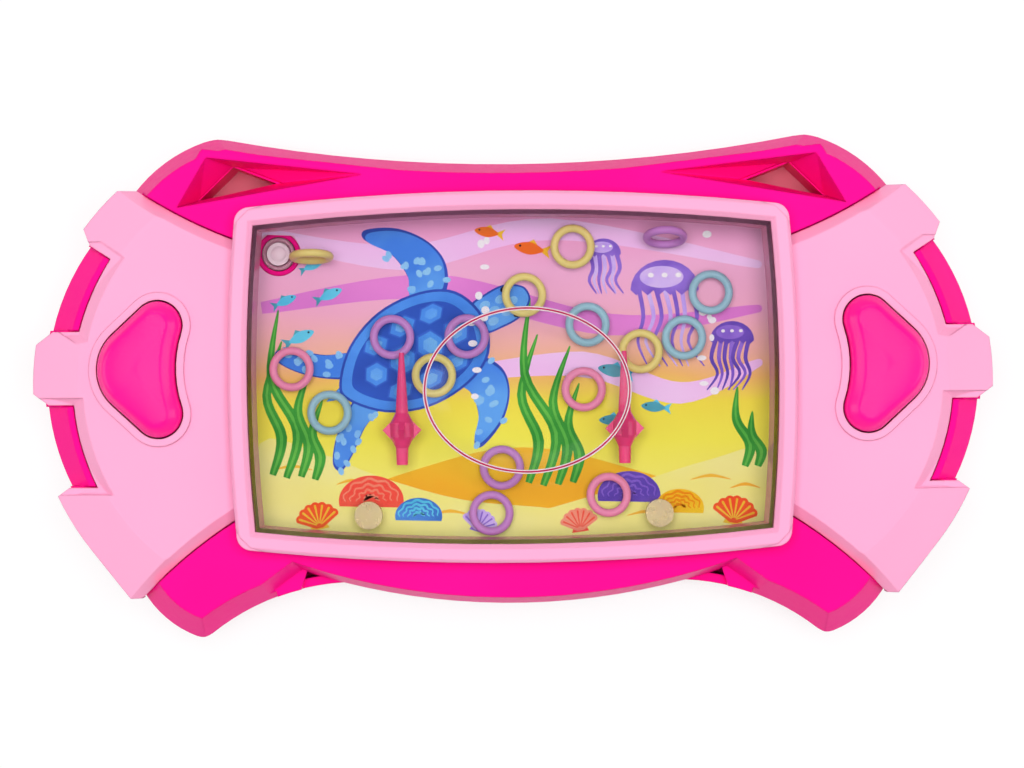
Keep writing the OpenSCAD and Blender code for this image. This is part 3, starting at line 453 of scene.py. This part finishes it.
def makeButton(shape, side):
    outline = buttonOutline(shape)
    build = bmesh.new()

    def ring(insets, height):
        return [build.verts.new((side * (cx + (size - sign * d) * math.cos(a)) * mm,
                                 (cy + (size - sign * d) * math.sin(a)) * mm, height * mm))
                for (cx, cy, size, a, sign), d in zip(outline, insets)]

    outer, inner = shape["shoulder"]
    widths = [outer + (inner - outer) * (0.5 - 0.5 * sign * math.cos(a)) for cx, cy, size, a, sign in outline]
    rings = [ring([0] * len(outline), shape["bottom"]), ring([0] * len(outline), shape["rim"] - 1)]
    for share, rise in shape["shoulderForm"]:
        rings.append(ring([w * share for w in widths],
                          shape["rim"] + (shape["ridge"] - shape["rim"]) * rise))
    mx, my = side * shape["middle"][0] * mm, shape["middle"][1] * mm
    ridge = [v.co.copy() for v in rings[-1]]
    for part in shape["crownSteps"]:
        height = shape["ridge"] + (shape["crown"] - shape["ridge"]) * (1 - part * part)
        rings.append([build.verts.new((mx + (c.x - mx) * part, my + (c.y - my) * part, height * mm))
                      for c in ridge])
    for low, high in zip(rings, rings[1:]):
        for i in range(len(outline)):
            k = (i + 1) % len(outline)
            build.faces.new((low[i], low[k], high[k], high[i]))
    peak = build.verts.new((mx, my, shape["crown"] * mm))
    for i in range(len(outline)):
        build.faces.new((rings[-1][i], rings[-1][(i + 1) % len(outline)], peak))
    build.faces.new(rings[0])
    return build


for word, side in (("left", -1), ("right", 1)):
    cap = placed(makeButton(button, side), word + "ButtonCap", plastics["buttonPlastic"], word + "_button",
                 button["sharpFrom"])
    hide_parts(word + "_button")
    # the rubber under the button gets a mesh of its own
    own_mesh(nodes[word + "_bellows"])
print("water game: buttons made")

# filler, and the window rim: a red tube of painted reflection with two pale tubes of painted highlight beside
# it

filler = {
    "at": (-47.4, 26.9),
    "dome": ((0, 11.9), (2.2, 11.9), (2.2, 12.5), (2.05, 12.9), (1.7, 13.2), (1.1, 13.4), (0, 13.46)),
    "shadeSheet": ((3.45, 12.3), (4.45, 12.3), (4.45, 12.8), (4.2, 12.95), (3.7, 12.95), (3.45, 12.8)),
    "neckTop": ((2.5, 13.2), (3.3, 13.2), (3.3, 13.4), (3.1, 13.54), (2.7, 13.54), (2.5, 13.4)),
    "turns": 48,
}

# the red tube of painted reflection along the rim of the dish, and the painted highlights beside it
paintedRimReflection = {
    "at": (2.8, -1.1), "across": 20.35, "up": 16.25, "radius": 0.17,
    "glintStep": 0.27, "glintRadius": 0.12,
    "count": 120, "sides": 10,
}


def turnedPiece(at, profile, turns):
    # a profile of radius and height, turned about an upright axis
    build = bmesh.new()
    rings = []
    for r, z in profile:
        if r == 0:
            rings.append([build.verts.new((at[0] * mm, at[1] * mm, z * mm))])
        else:
            angles = [2 * math.pi * i / turns for i in range(turns)]
            rings.append([build.verts.new(((at[0] + r * math.cos(a)) * mm, (at[1] + r * math.sin(a)) * mm,
                                           z * mm))
                          for a in angles])
    pairs = list(zip(rings, rings[1:]))
    if profile[0][0]:
        pairs.append((rings[-1], rings[0]))
    for low, high in pairs:
        for i in range(turns):
            k = (i + 1) % turns
            corners = [low[i % len(low)], low[k % len(low)], high[k % len(high)], high[i % len(high)]]
            build.faces.new(list(dict.fromkeys(corners)))
    return build


def ovalTube(spec, height, step, radius):
    build = bmesh.new()
    loops = []
    for i in range(spec["count"]):
        a = 2 * math.pi * i / spec["count"]
        x, y = (spec["across"] + step) * math.cos(a), (spec["up"] + step) * math.sin(a)
        out = Vector((spec["up"] * math.cos(a), spec["across"] * math.sin(a))).normalized()
        loop = []
        for j in range(spec["sides"]):
            b = 2 * math.pi * j / spec["sides"]
            off = radius * math.cos(b)
            loop.append(build.verts.new(((spec["at"][0] + x + out.x * off) * mm,
                                         (spec["at"][1] + y + out.y * off) * mm,
                                         height + radius * math.sin(b) * mm)))
        loops.append(loop)
    for i in range(spec["count"]):
        a, b = loops[i], loops[(i + 1) % spec["count"]]
        for j in range(spec["sides"]):
            k = (j + 1) % spec["sides"]
            build.faces.new((a[j], b[j], b[k], a[k]))
    return build


placed(turnedPiece(filler["at"], filler["dome"], filler["turns"]), "fillerDome", plastics["domeWhiteAndGlint"],
       "filler_plug")
# painted shade: a magenta sheet under the card hole stands in for the rear shell seen deep in shade below the
# neck
placed(turnedPiece(filler["at"], filler["shadeSheet"], filler["turns"]), "fillerShadeSheet",
       plastics["magentaPlastic"],
       "case")
placed(turnedPiece(filler["at"], filler["neckTop"], filler["turns"]), "fillerNeckTop",
       plastics["neckPlastic"],
       "case")
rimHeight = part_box("tank_front")[1].z
# painted reflection: the red tube draws the magenta surroundings mirrored in the rim of the dish
placed(ovalTube(paintedRimReflection, rimHeight, 0, paintedRimReflection["radius"]), "paintedRimReflection", plastics["rimReflectionRed"], "case")
# painted highlights: two thin pale tubes beside the rim of the dish
for name, side in (("rimGlintInner", -1), ("rimGlintOuter", 1)):
    placed(ovalTube(paintedRimReflection, rimHeight, side * paintedRimReflection["glintStep"], paintedRimReflection["glintRadius"]), name,
           plastics["domeWhiteAndGlint"], "case")
print("water game: filler and window rim made")


# the printed card under the water

picture = {
    "cardLow": 13.10,       # millimetres
    "cardTop": 13.16,
    "holeAt": filler["at"],
    "holeSize": 4.5,
    "holeSides": 48,
    "inkHole": 4.9,         # the ink keeps this far from the middle of the hole
    "inkLow": (-52.6, -31.4),
    "inkHigh": (52.6, 34.2),
    "sameSpot": 0.01,
    "step": 0.0004,         # height between two layers of ink
    # painted light: the inks are drawn this much lighter, to make up for the shade of the bezel over the card
    "seed": 11,
    "paintedLightLift": 1.4,            # the card lies in the shade of the bezel, so its inks are lighter than they look
}
inkSheet = {}
inkCount = [0]


def paint(ink, loop):
    inkCount[0] += 1
    inkSheet.setdefault(ink, []).append((loop, picture["cardTop"] + inkCount[0] * picture["step"]))


def curveThrough(points, closed, steps=5):
    # a smooth line through the given points
    out = []
    n = len(points)
    spans = n if closed else n - 1
    for i in range(spans):
        if closed:
            a, b, c, d = (points[(i + k - 1) % n] for k in range(4))
        else:
            a, b, c, d = (points[min(max(i + k - 1, 0), n - 1)] for k in range(4))
        for s in range(steps):
            t = s / steps
            out.append(tuple(0.5 * (2 * b[k] + (c[k] - a[k]) * t
                                    + (2 * a[k] - 5 * b[k] + 4 * c[k] - d[k]) * t * t
                                    + (3 * b[k] - a[k] - 3 * c[k] + d[k]) * t ** 3) for k in (0, 1)))
    if not closed:
        out.append(tuple(points[-1]))
    return out


def blob(ink, points, steps=5):
    paint(ink, curveThrough(points, True, steps))


def oval(ink, x, y, rx, ry, turn=0, count=24):
    c, s = math.cos(math.radians(turn)), math.sin(math.radians(turn))
    paint(ink, [(x + rx * math.cos(a) * c - ry * math.sin(a) * s,
                 y + rx * math.cos(a) * s + ry * math.sin(a) * c)
                for a in (2 * math.pi * i / count for i in range(count))])


def strand(ink, spine, widths, steps=5):
    # a ribbon with a round end, its half widths spread along the spine
    line = curveThrough(spine, False, steps)
    left, right = [], []
    for i, p in enumerate(line):
        q, r = line[max(i - 1, 0)], line[min(i + 1, len(line) - 1)]
        dx, dy = r[0] - q[0], r[1] - q[1]
        size = math.hypot(dx, dy) or 1
        at = i / (len(line) - 1) * (len(widths) - 1)
        k = min(int(at), len(widths) - 2)
        w = widths[k] + (widths[k + 1] - widths[k]) * (at - k)
        left.append((p[0] - dy / size * w, p[1] + dx / size * w))
        right.append((p[0] + dy / size * w, p[1] - dx / size * w))
    end, last = line[-1], line[-2]
    a0 = math.atan2(end[1] - last[1], end[0] - last[0])
    tip = [(end[0] + widths[-1] * math.cos(a0 + a), end[1] + widths[-1] * math.sin(a0 + a))
           for a in (math.radians(v) for v in (60, 30, 0, -30, -60))]
    paint(ink, left + tip + right[::-1])


def turned(points, x, y, angle, size=1, mirror=1):
    c, s = math.cos(math.radians(angle)), math.sin(math.radians(angle))
    return [(x + size * (px * mirror * c - py * s), y + size * (px * mirror * s + py * c))
            for px, py in points]


turtle = {
    "at": (-20.0, 6.4), "turn": 28, "size": 0.84,
    "shell": [(19, 0), (16, 8.5), (8, 12.6), (-3, 13.0), (-13, 9.0), (-19.5, 2.2), (-19.5, -2.2), (-13, -9.0),
              (-3, -13.0), (8, -12.6), (16, -8.5)],
    "head": [(17, 3.4), (22, 4.6), (27, 4.4), (30.6, 2.2), (31.4, 0), (30.6, -2.2), (27, -4.4), (22, -4.6),
             (17, -3.4)],
    "frontFlipper": [(13, 9), (17, 15), (16, 22), (11, 28.5), (4, 32), (2.5, 30), (6.5, 24), (7.5, 17),
                     (5.5, 11)],
    "hindFlipper": [(-13, 7), (-19, 10), (-25, 14.5), (-29, 16.5), (-30, 14), (-26.5, 9), (-21, 4.5),
                    (-16, 2.5)],
    "tail": [(-18, 1.6), (-23.5, 0.3), (-23.5, -0.3), (-18, -1.6)],
}


def seaTurtle(spec):
    place = (*spec["at"], spec["turn"], spec["size"])
    flipped = [(p[0], -p[1] * 0.86) for p in spec["frontFlipper"]]
    hindFlipped = [(p[0], -p[1]) for p in spec["hindFlipper"]]
    for shape in (spec["frontFlipper"], flipped, spec["hindFlipper"], hindFlipped, spec["tail"],
                  spec["head"]):
        blob("turtleEdge", turned(shape, *place))
        cx, cy = sum(p[0] for p in shape) / len(shape), sum(p[1] for p in shape) / len(shape)
        blob("turtleSkin", turned([(cx + (px - cx) * 0.93, cy + (py - cy) * 0.9) for px, py in shape],
                                  *place))
    for shape in (spec["frontFlipper"], flipped, spec["hindFlipper"], hindFlipped):
        for i in range(16):       # scales along the flippers
            a, b = shape[dice.randrange(len(shape))], shape[dice.randrange(len(shape))]
            mid = ((a[0] + b[0]) / 2 + dice.uniform(-0.6, 0.6), (a[1] + b[1]) / 2)
            px, py = turned([mid], *place)[0]
            oval("turtlePale", px, py, 0.85, 0.6, dice.uniform(0, 180), 10)
    for x, y in ((22, 0), (24.6, 1.7), (24.6, -1.7), (20.6, 2.2), (20.6, -2.2), (27, 0)):
        px, py = turned([(x, y)], *place)[0]
        oval("turtlePale", px, py, 1.15, 0.85, spec["turn"], 12)
    for y in (3.4, -3.4):
        px, py = turned([(26.6, y)], *place)[0]
        oval("ink", px, py, 0.9, 0.62, spec["turn"], 14)
    blob("turtleEdge", turned(spec["shell"], *place))
    blob("turtleRim", turned([(x * 0.965, y * 0.955) for x, y in spec["shell"]], *place))
    blob("turtleShell", turned([(x * 0.83, y * 0.80) for x, y in spec["shell"]], *place))
    rows = [[(11.4, 0, 3.6, 3.5), (4.4, 0, 3.8, 4.0), (-3.2, 0, 3.8, 4.0), (-10.4, 0, 3.3, 3.2)],
            [(8.2, 6.6, 3.5, 2.6), (0.6, 7.2, 3.9, 2.6), (-7.2, 6.2, 3.6, 2.5)],
            [(8.2, -6.6, 3.5, 2.6), (0.6, -7.2, 3.9, 2.6), (-7.2, -6.2, 3.6, 2.5)]]
    for row in rows:              # the plates of the shell, one over the other in two tones
        for x, y, rx, ry in row:
            ring = [(x + rx * math.cos(math.radians(a)), y + ry * math.sin(math.radians(a)))
                    for a in range(0, 360, 60)]
            paint("turtleLine", turned(ring, *place))
            paint("turtlePlate", turned([(x + (px - x) * 0.86, y + (py - y) * 0.86) for px, py in ring],
                                        *place))
            paint("turtleGlow", turned([(x + (px - x) * 0.5, y + (py - y) * 0.5) for px, py in ring], *place))


def jellyFish(x, y, size, lean, ink, light):
    # a bell with a scalloped hem over long thin arms
    for i in range(7):
        foot = x + size * (i - 3) * 0.28
        drift = lean + dice.uniform(-0.2, 0.2) * size
        strand(light if i % 2 else ink,
               [(foot, y), (foot + drift * 0.5, y - size * 0.9), (foot - drift * 0.2, y - size * 1.7),
                (foot + drift, y - size * 2.5)], [0.45, 0.4, 0.3, 0.12], 4)
    bell = [(x + size * 1.12 * math.cos(math.pi * i / 12), y + size * 0.98 * math.sin(math.pi * i / 12))
            for i in range(13)]
    hem = [(x + size * 2.24 * (i / 12 - 0.5), y - size * (0.18 if i % 2 else 0.02)) for i in range(1, 12)]
    paint(ink, bell + hem)
    oval(light, x - size * 0.1, y + size * 0.42, size * 0.72, size * 0.36)
    for i in (-1, 0, 1):
        oval("white", x + size * 0.45 * i, y + size * 0.48, size * 0.1, size * 0.08, 0, 12)


def ribbonWeed(x, y, height, lean, width):
    # one long wavy blade with a paler vein
    sway = height * 0.07
    spine = [(x, y), (x + sway, y + height * 0.28), (x - sway + lean * 0.4, y + height * 0.6),
             (x + lean, y + height)]
    strand("kelp", spine, [width * 0.6, width, width * 0.8, width * 0.15], 6)
    strand("kelpLight", spine, [width * 0.15, width * 0.3, width * 0.2, 0.05], 6)


def roundCoral(x, y, size, ink, groove):
    # a low dome with winding grooves
    paint(ink, [(x + size * math.cos(a), y + size * 0.78 * math.sin(a))
                for a in (math.radians(v) for v in range(-16, 197, 8))])
    for row in range(1, 5):
        line = []
        for step in range(25):
            a = math.pi * step / 24
            reach = size * (0.21 * row + 0.05 * math.sin(10 * a + row))
            line.append((x + reach * math.cos(a), y + reach * 0.78 * math.sin(a)))
        strand(groove, line, [0.12, 0.26, 0.12], 1)


def scallop(x, y, size, angle, ink, rib):
    # a fan with a lobed edge, its hinge plate and seven ribs
    place = (x, y, angle, size)
    edge = []
    for i in range(43):
        a = math.radians(20 + 140 * i / 42)
        reach = 1 + 0.07 * abs(math.sin(math.pi * i / 6))
        edge.append((reach * math.cos(a), reach * math.sin(a)))
    paint(rib, turned([(-0.44, -0.16), (0.44, -0.16), (0.3, 0.14), (-0.3, 0.14)], *place))
    paint(ink, turned([(0.16, -0.1)] + edge + [(-0.16, -0.1)], *place))
    for i in range(7):
        a = math.radians(30 + 20 * i)
        strand(rib, turned([(0.12 * math.cos(a), 0.12 * math.sin(a)), (0.5 * math.cos(a), 0.5 * math.sin(a)),
                            (0.9 * math.cos(a), 0.9 * math.sin(a))], *place),
               [size * 0.02, size * 0.035, size * 0.05], 2)


plainShape = {
    "body": [(-2.9, 0.0), (-1.6, 0.9), (0.4, 1.15), (2.4, 0.3), (2.4, -0.3), (0.4, -1.1), (-1.6, -0.85)],
    "tail": [(2.1, 0.2), (4.0, 1.3), (3.4, 0.0), (4.0, -1.3), (2.1, -0.2)],
    "fin": [(-0.7, 0.9), (0.5, 1.8), (1.5, 0.7)],
}


def plainFish(x, y, size, angle, mirror, body, fins):
    place = (x, y, angle, size, mirror)
    paint(fins, turned(plainShape["tail"], *place))
    paint(fins, turned(plainShape["fin"], *place))
    paint(body, turned(curveThrough(plainShape["body"], True, 3), *place))
    ex, ey = turned([(-1.8, 0.25)], *place)[0]
    oval("ink", ex, ey, 0.22 * size, 0.22 * size, 0, 10)


shoal = (       # x, y, size, angle, mirror, body, fins
    (-43.0, 10.0, 1.0, 24, -1, "fishAqua", "fishTeal"),
    (-37.0, 18.6, 0.9, 24, -1, "fishAqua", "fishTeal"),
    (-46.0, 17.4, 0.8, 24, -1, "fishAqua", "fishTeal"),
    (-40.4, 24.6, 0.8, 24, -1, "fishAqua", "fishTeal"),
    (3.6, 27.6, 1.1, -10, 1, "fishOrange", "shellGold"),
    (-5.0, 31.0, 0.9, -10, 1, "fishOrange", "shellGold"),
    (20.4, 2.6, 1.1, -12, 1, "fishTeal", "fishAqua"),
    (28.6, -4.8, 0.9, -6, 1, "fishTeal", "fishAqua"),
    (20.0, -7.4, 0.9, 0, 1, "fishTeal", "fishAqua"),
)


def seaFloor():
    dice.seed(picture["seed"])
    for ink, spine in (("pinkPatch", [(-51, 31), (-22, 26), (8, 31.5), (50, 24)]),
                       ("lilacPatch", [(-51, 16), (-16, 20), (20, 12), (50, 15)]),
                       ("pinkPatch", [(-12, 2), (14, 4), (34, -2), (50, 4)])):
        strand(ink, spine, [1.2, 2.6, 2.2, 0.8], 8)
    blob("sandBand", [(-32, -23), (-14, -15.4), (2, -12.8), (18, -15.6), (36, -23), (2, -27)])
    blob("sand", [(-51.6, -11.6), (-40, -13.4), (-27, -18.6), (-10, -23.4), (10, -25.6), (26, -30),
                  (-51.6, -30.9)], 4)
    blob("sand", [(51.6, -14), (40, -15.6), (26, -19.8), (8, -25), (-10, -30), (51.6, -30.9)], 4)
    for x, y, half in ((-45, -17, 4), (-33, -20, 3), (-13, -26.4, 4), (2, -17.6, 5), (7, -21, 4),
                       (27, -26.8, 4), (40, -19.6, 4), (47, -21.4, 3)):
        strand("goldSand", [(x - half, y), (x, y + 0.8), (x + half, y)], [0.08, 0.35, 0.08], 4)
    for x, y, height, lean in ((-49, -18, 27, 2), (-46.2, -18.6, 34, -1.4), (-43.2, -18.4, 23, 2.6),
                               (-40.4, -19, 16, 1.6), (3, -20, 30, 2), (6, -20.6, 38, -2.4),
                               (9, -20.4, 28, 2.6), (12, -20, 20, 1.4), (47, -17, 16, -1.4),
                               (49.6, -17, 11, -1)):
        ribbonWeed(x, y, height, lean, 1.15)
    seaTurtle(turtle)
    jellyFish(31, 19, 6.2, 2.0, "violetCoral", "lilacTip")
    jellyFish(44.6, 8.6, 4.0, -1.4, "plumCoral", "violetCoral")
    jellyFish(18.6, 26.4, 3.2, 1.0, "violetCoral", "lilacTip")
    roundCoral(-29.0, -23.4, 6.6, "redCoral", "coralGlow")
    roundCoral(-19.4, -26.6, 4.8, "blueCoral", "fishAqua")
    roundCoral(23.4, -22.8, 6.4, "plumCoral", "violetCoral")
    roundCoral(33.6, -25.4, 5.0, "domeGold", "domeAmber")
    scallop(-39.6, -28.4, 4.6, 12, "shellOrange", "shellGold")
    scallop(-7.4, -29.2, 3.8, -16, "lilacTip", "violetCoral")
    scallop(13.4, -29.4, 4.0, 8, "coralGlow", "redCoral")
    scallop(44.6, -28.0, 4.8, -10, "shellOrange", "shellGold")
    for i in range(20):
        x = dice.uniform(-9, -5) if i % 2 else dice.uniform(37, 41)
        oval("bubble", x, dice.uniform(-8, 32), 0.5 + 0.5 * dice.random(), 0.5 + 0.4 * dice.random(), 0, 14)
    for spec in shoal:
        plainFish(*spec)


def inkTone(code):
    # the ink's colour with painted light, lifted to make up for the shade over the card
    return tuple(min(1, c * picture["paintedLightLift"]) for c in linear(code)[:3]) + (1,)


def inkFinish(tree, body):
    tree.links.new(spread(tree, objectNoise(tree, 3000, 2), 0.42, 0.55), body.inputs["Roughness"])
    body.inputs["Specular IOR Level"].default_value = 0.3


def printInk(name, look):
    # two tones of one ink, clouded and graded up the card, with fine print grain
    mat, tree, body = newMaterial(name)
    cloudy = objectNoise(tree, look.get("scale", 160), 3)
    wave = mathNode(tree, "SINE", mathNode(tree, "MULTIPLY", objectAxis(tree, "Y"), look.get("grade", 500)))
    part = mathNode(tree, "MULTIPLY_ADD", wave, look.get("gradeShare", 0.12), cloudy)
    tree.links.new(toneMix(tree, spread(tree, part, 0, 1, 0.32, 0.68), inkTone(look["tone"]),
                           inkTone(look["shade"])), body.inputs["Base Color"])
    inkFinish(tree, body)
    return mat


inkLooks = {
    "pinkPatch": {"tone": "#efbce0", "shade": "#ebb2d9", "scale": 40},
    "lilacPatch": {"tone": "#d47fc4", "shade": "#c974bd", "scale": 40},
    "sandBand": {"tone": "#eab42e", "shade": "#e2a428", "scale": 60},
    "sand": {"tone": "#eee28a", "shade": "#e9da78", "scale": 50},
    "goldSand": {"tone": "#e8b43c", "shade": "#dca634", "scale": 60},
    "kelp": {"tone": "#3f9a3a", "shade": "#2f8330", "scale": 200},
    "kelpLight": {"tone": "#63b548", "shade": "#4aa03c", "scale": 200},
    "plumCoral": {"tone": "#6a4fae", "shade": "#55409c", "scale": 220},
    "violetCoral": {"tone": "#8b6cc6", "shade": "#7355b4", "scale": 220},
    "lilacTip": {"tone": "#c3aee4", "shade": "#ad93da", "scale": 260},
    "turtleEdge": {"tone": "#3350ad", "shade": "#2b4499", "scale": 90},
    "turtleSkin": {"tone": "#5a9be2", "shade": "#3f7ad0", "scale": 90, "gradeShare": 0.2, "grade": 300},
    "turtlePale": {"tone": "#84bbee", "shade": "#74aee8", "scale": 200},
    "turtleRim": {"tone": "#4d8edc", "shade": "#3c78cb", "scale": 120},
    "turtleShell": {"tone": "#2f58b6", "shade": "#2a4ba4", "scale": 100},
    "turtleLine": {"tone": "#3a66c4", "shade": "#3259b4", "scale": 100},
    "turtlePlate": {"tone": "#4c8fdc", "shade": "#3d78cd", "scale": 130},
    "turtleGlow": {"tone": "#6caae8", "shade": "#5494de", "scale": 160},
    "domeGold": {"tone": "#f6ba2a", "shade": "#efa81c", "scale": 180},
    "domeAmber": {"tone": "#e28c14", "shade": "#d47f10", "scale": 180},
    "redCoral": {"tone": "#ef5a44", "shade": "#e04a3c", "scale": 220},
    "coralGlow": {"tone": "#fb8f74", "shade": "#f47a60", "scale": 220},
    "blueCoral": {"tone": "#4a86cc", "shade": "#3a70b8", "scale": 200},
    "bubble": {"tone": "#f6eef6", "shade": "#eadff0"},
    "fishAqua": {"tone": "#62c3d8", "shade": "#4ab0cc"},
    "fishTeal": {"tone": "#4f9fae", "shade": "#428e9e"},
    "fishOrange": {"tone": "#e8732c", "shade": "#d86424"},
    "shellOrange": {"tone": "#ea5a2c", "shade": "#de4c26"},
    "shellGold": {"tone": "#f6b83a", "shade": "#eeaa2e"},
    "white": {"tone": "#f8f6f2", "shade": "#f0eeea"},
    "ink": {"tone": "#20202c", "shade": "#181822"},
}


def cardInk():
    # the ground of the picture, from lilac water down to yellow sand
    mat, tree, body = newMaterial("cardGround")
    wobble = mathNode(tree, "MULTIPLY_ADD", objectNoise(tree, 45, 2), 0.006, objectAxis(tree, "Y"))
    ramp = tree.nodes.new("ShaderNodeValToRGB")
    tree.links.new(spread(tree, wobble, 0, 1, -0.028, 0.038), ramp.inputs["Fac"])
    stops = [(0.0, "#ecdf7c"), (0.30, "#efd94c"), (0.42, "#f3cf45"), (0.50, "#f4ad62"), (0.58, "#efa894"),
             (0.70, "#eaa2b8"), (0.84, "#e8a4c2"), (1.0, "#e094bc")]
    band = ramp.color_ramp
    while len(band.elements) < len(stops):
        band.elements.new(0.5)
    for element, (at, code) in zip(band.elements, stops):
        element.position = at
        element.color = inkTone(code)
    tree.links.new(ramp.outputs["Color"], body.inputs["Base Color"])
    inkFinish(tree, body)
    return mat


def makeCard(setup):
    # a thin card with a hole for the filler neck, in place of the CAD card
    low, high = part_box("picture_card")
    x0, y0, x1, y1 = (v / mm for v in (low.x, low.y, high.x, high.y))
    hx, hy = setup["holeAt"]
    sides = setup["holeSides"]
    around = [2 * math.pi * i / sides for i in range(sides)]
    inner = [(hx + setup["holeSize"] * math.cos(a), hy + setup["holeSize"] * math.sin(a)) for a in around]
    outer = []
    for a in around:              # where each ray from the hole meets the edge of the card
        dx, dy = math.cos(a), math.sin(a)
        reach = min((edge - start) / d for edge, start, d in
                    ((x1 if dx > 0 else x0, hx, dx), (y1 if dy > 0 else y0, hy, dy)) if abs(d) > 1e-9)
        outer.append((hx + reach * dx, hy + reach * dy))
    for corner in ((x0, y0), (x1, y0), (x1, y1), (x0, y1)):
        nearest = min(range(sides), key=lambda k: abs(math.remainder(
            math.atan2(corner[1] - hy, corner[0] - hx) - around[k], 2 * math.pi)))
        outer[nearest] = corner
    build = bmesh.new()
    rings = [[build.verts.new((x * mm, y * mm, z * mm)) for x, y in loop]
             for z, loop in ((setup["cardTop"], inner), (setup["cardTop"], outer),
                             (setup["cardLow"], outer), (setup["cardLow"], inner))]
    for k in range(4):
        a, b = rings[k], rings[(k + 1) % 4]
        for i in range(sides):
            build.faces.new((a[i], b[i], b[(i + 1) % sides], a[(i + 1) % sides]))
    bmesh.ops.recalc_face_normals(build, faces=build.faces[:])
    mesh = bpy.data.meshes.new("waterCard")
    build.to_mesh(mesh)
    build.free()
    mesh.materials.append(cardInk())
    obj = bpy.data.objects.new("waterCard", mesh)
    bpy.context.scene.collection.objects.link(obj)
    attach(obj, "case")
    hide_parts("picture_card")


def makePicture(setup):
    seaFloor()
    (x0, y0), (x1, y1) = setup["inkLow"], setup["inkHigh"]
    hole = Vector(setup["holeAt"])
    mesh = bpy.data.meshes.new("printedPicture")
    build = bmesh.new()
    for index, (ink, loops) in enumerate(inkSheet.items()):
        mesh.materials.append(printInk(ink, inkLooks[ink]))
        for loop, z in loops:
            corners = []
            for x, y in loop:         # motifs stop at the edge of the visible card and at the filler hole
                x, y = max(x0, min(x1, x)), max(y0, min(y1, y))
                away = Vector((x, y)) - hole
                if away.length < setup["inkHole"]:
                    x, y = hole + away.normalized() * setup["inkHole"]
                if not corners or math.dist((x, y), corners[-1]) > setup["sameSpot"]:
                    corners.append((x, y))
            if len(corners) < 3:
                continue
            area = sum(a[0] * b[1] - b[0] * a[1] for a, b in zip(corners, corners[1:] + corners[:1]))
            if area < 0:
                corners.reverse()
            face = build.faces.new([build.verts.new((x * mm, y * mm, z * mm)) for x, y in corners])
            face.material_index = index
    build.normal_update()
    bmesh.ops.triangulate(build, faces=build.faces[:], ngon_method="EAR_CLIP")
    build.to_mesh(mesh)
    build.free()
    obj = bpy.data.objects.new("printedPicture", mesh)
    bpy.context.scene.collection.objects.link(obj)
    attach(obj, "case")


makeCard(picture)
makePicture(picture)
print("water game: picture printed with", inkCount[0], "patches of ink")
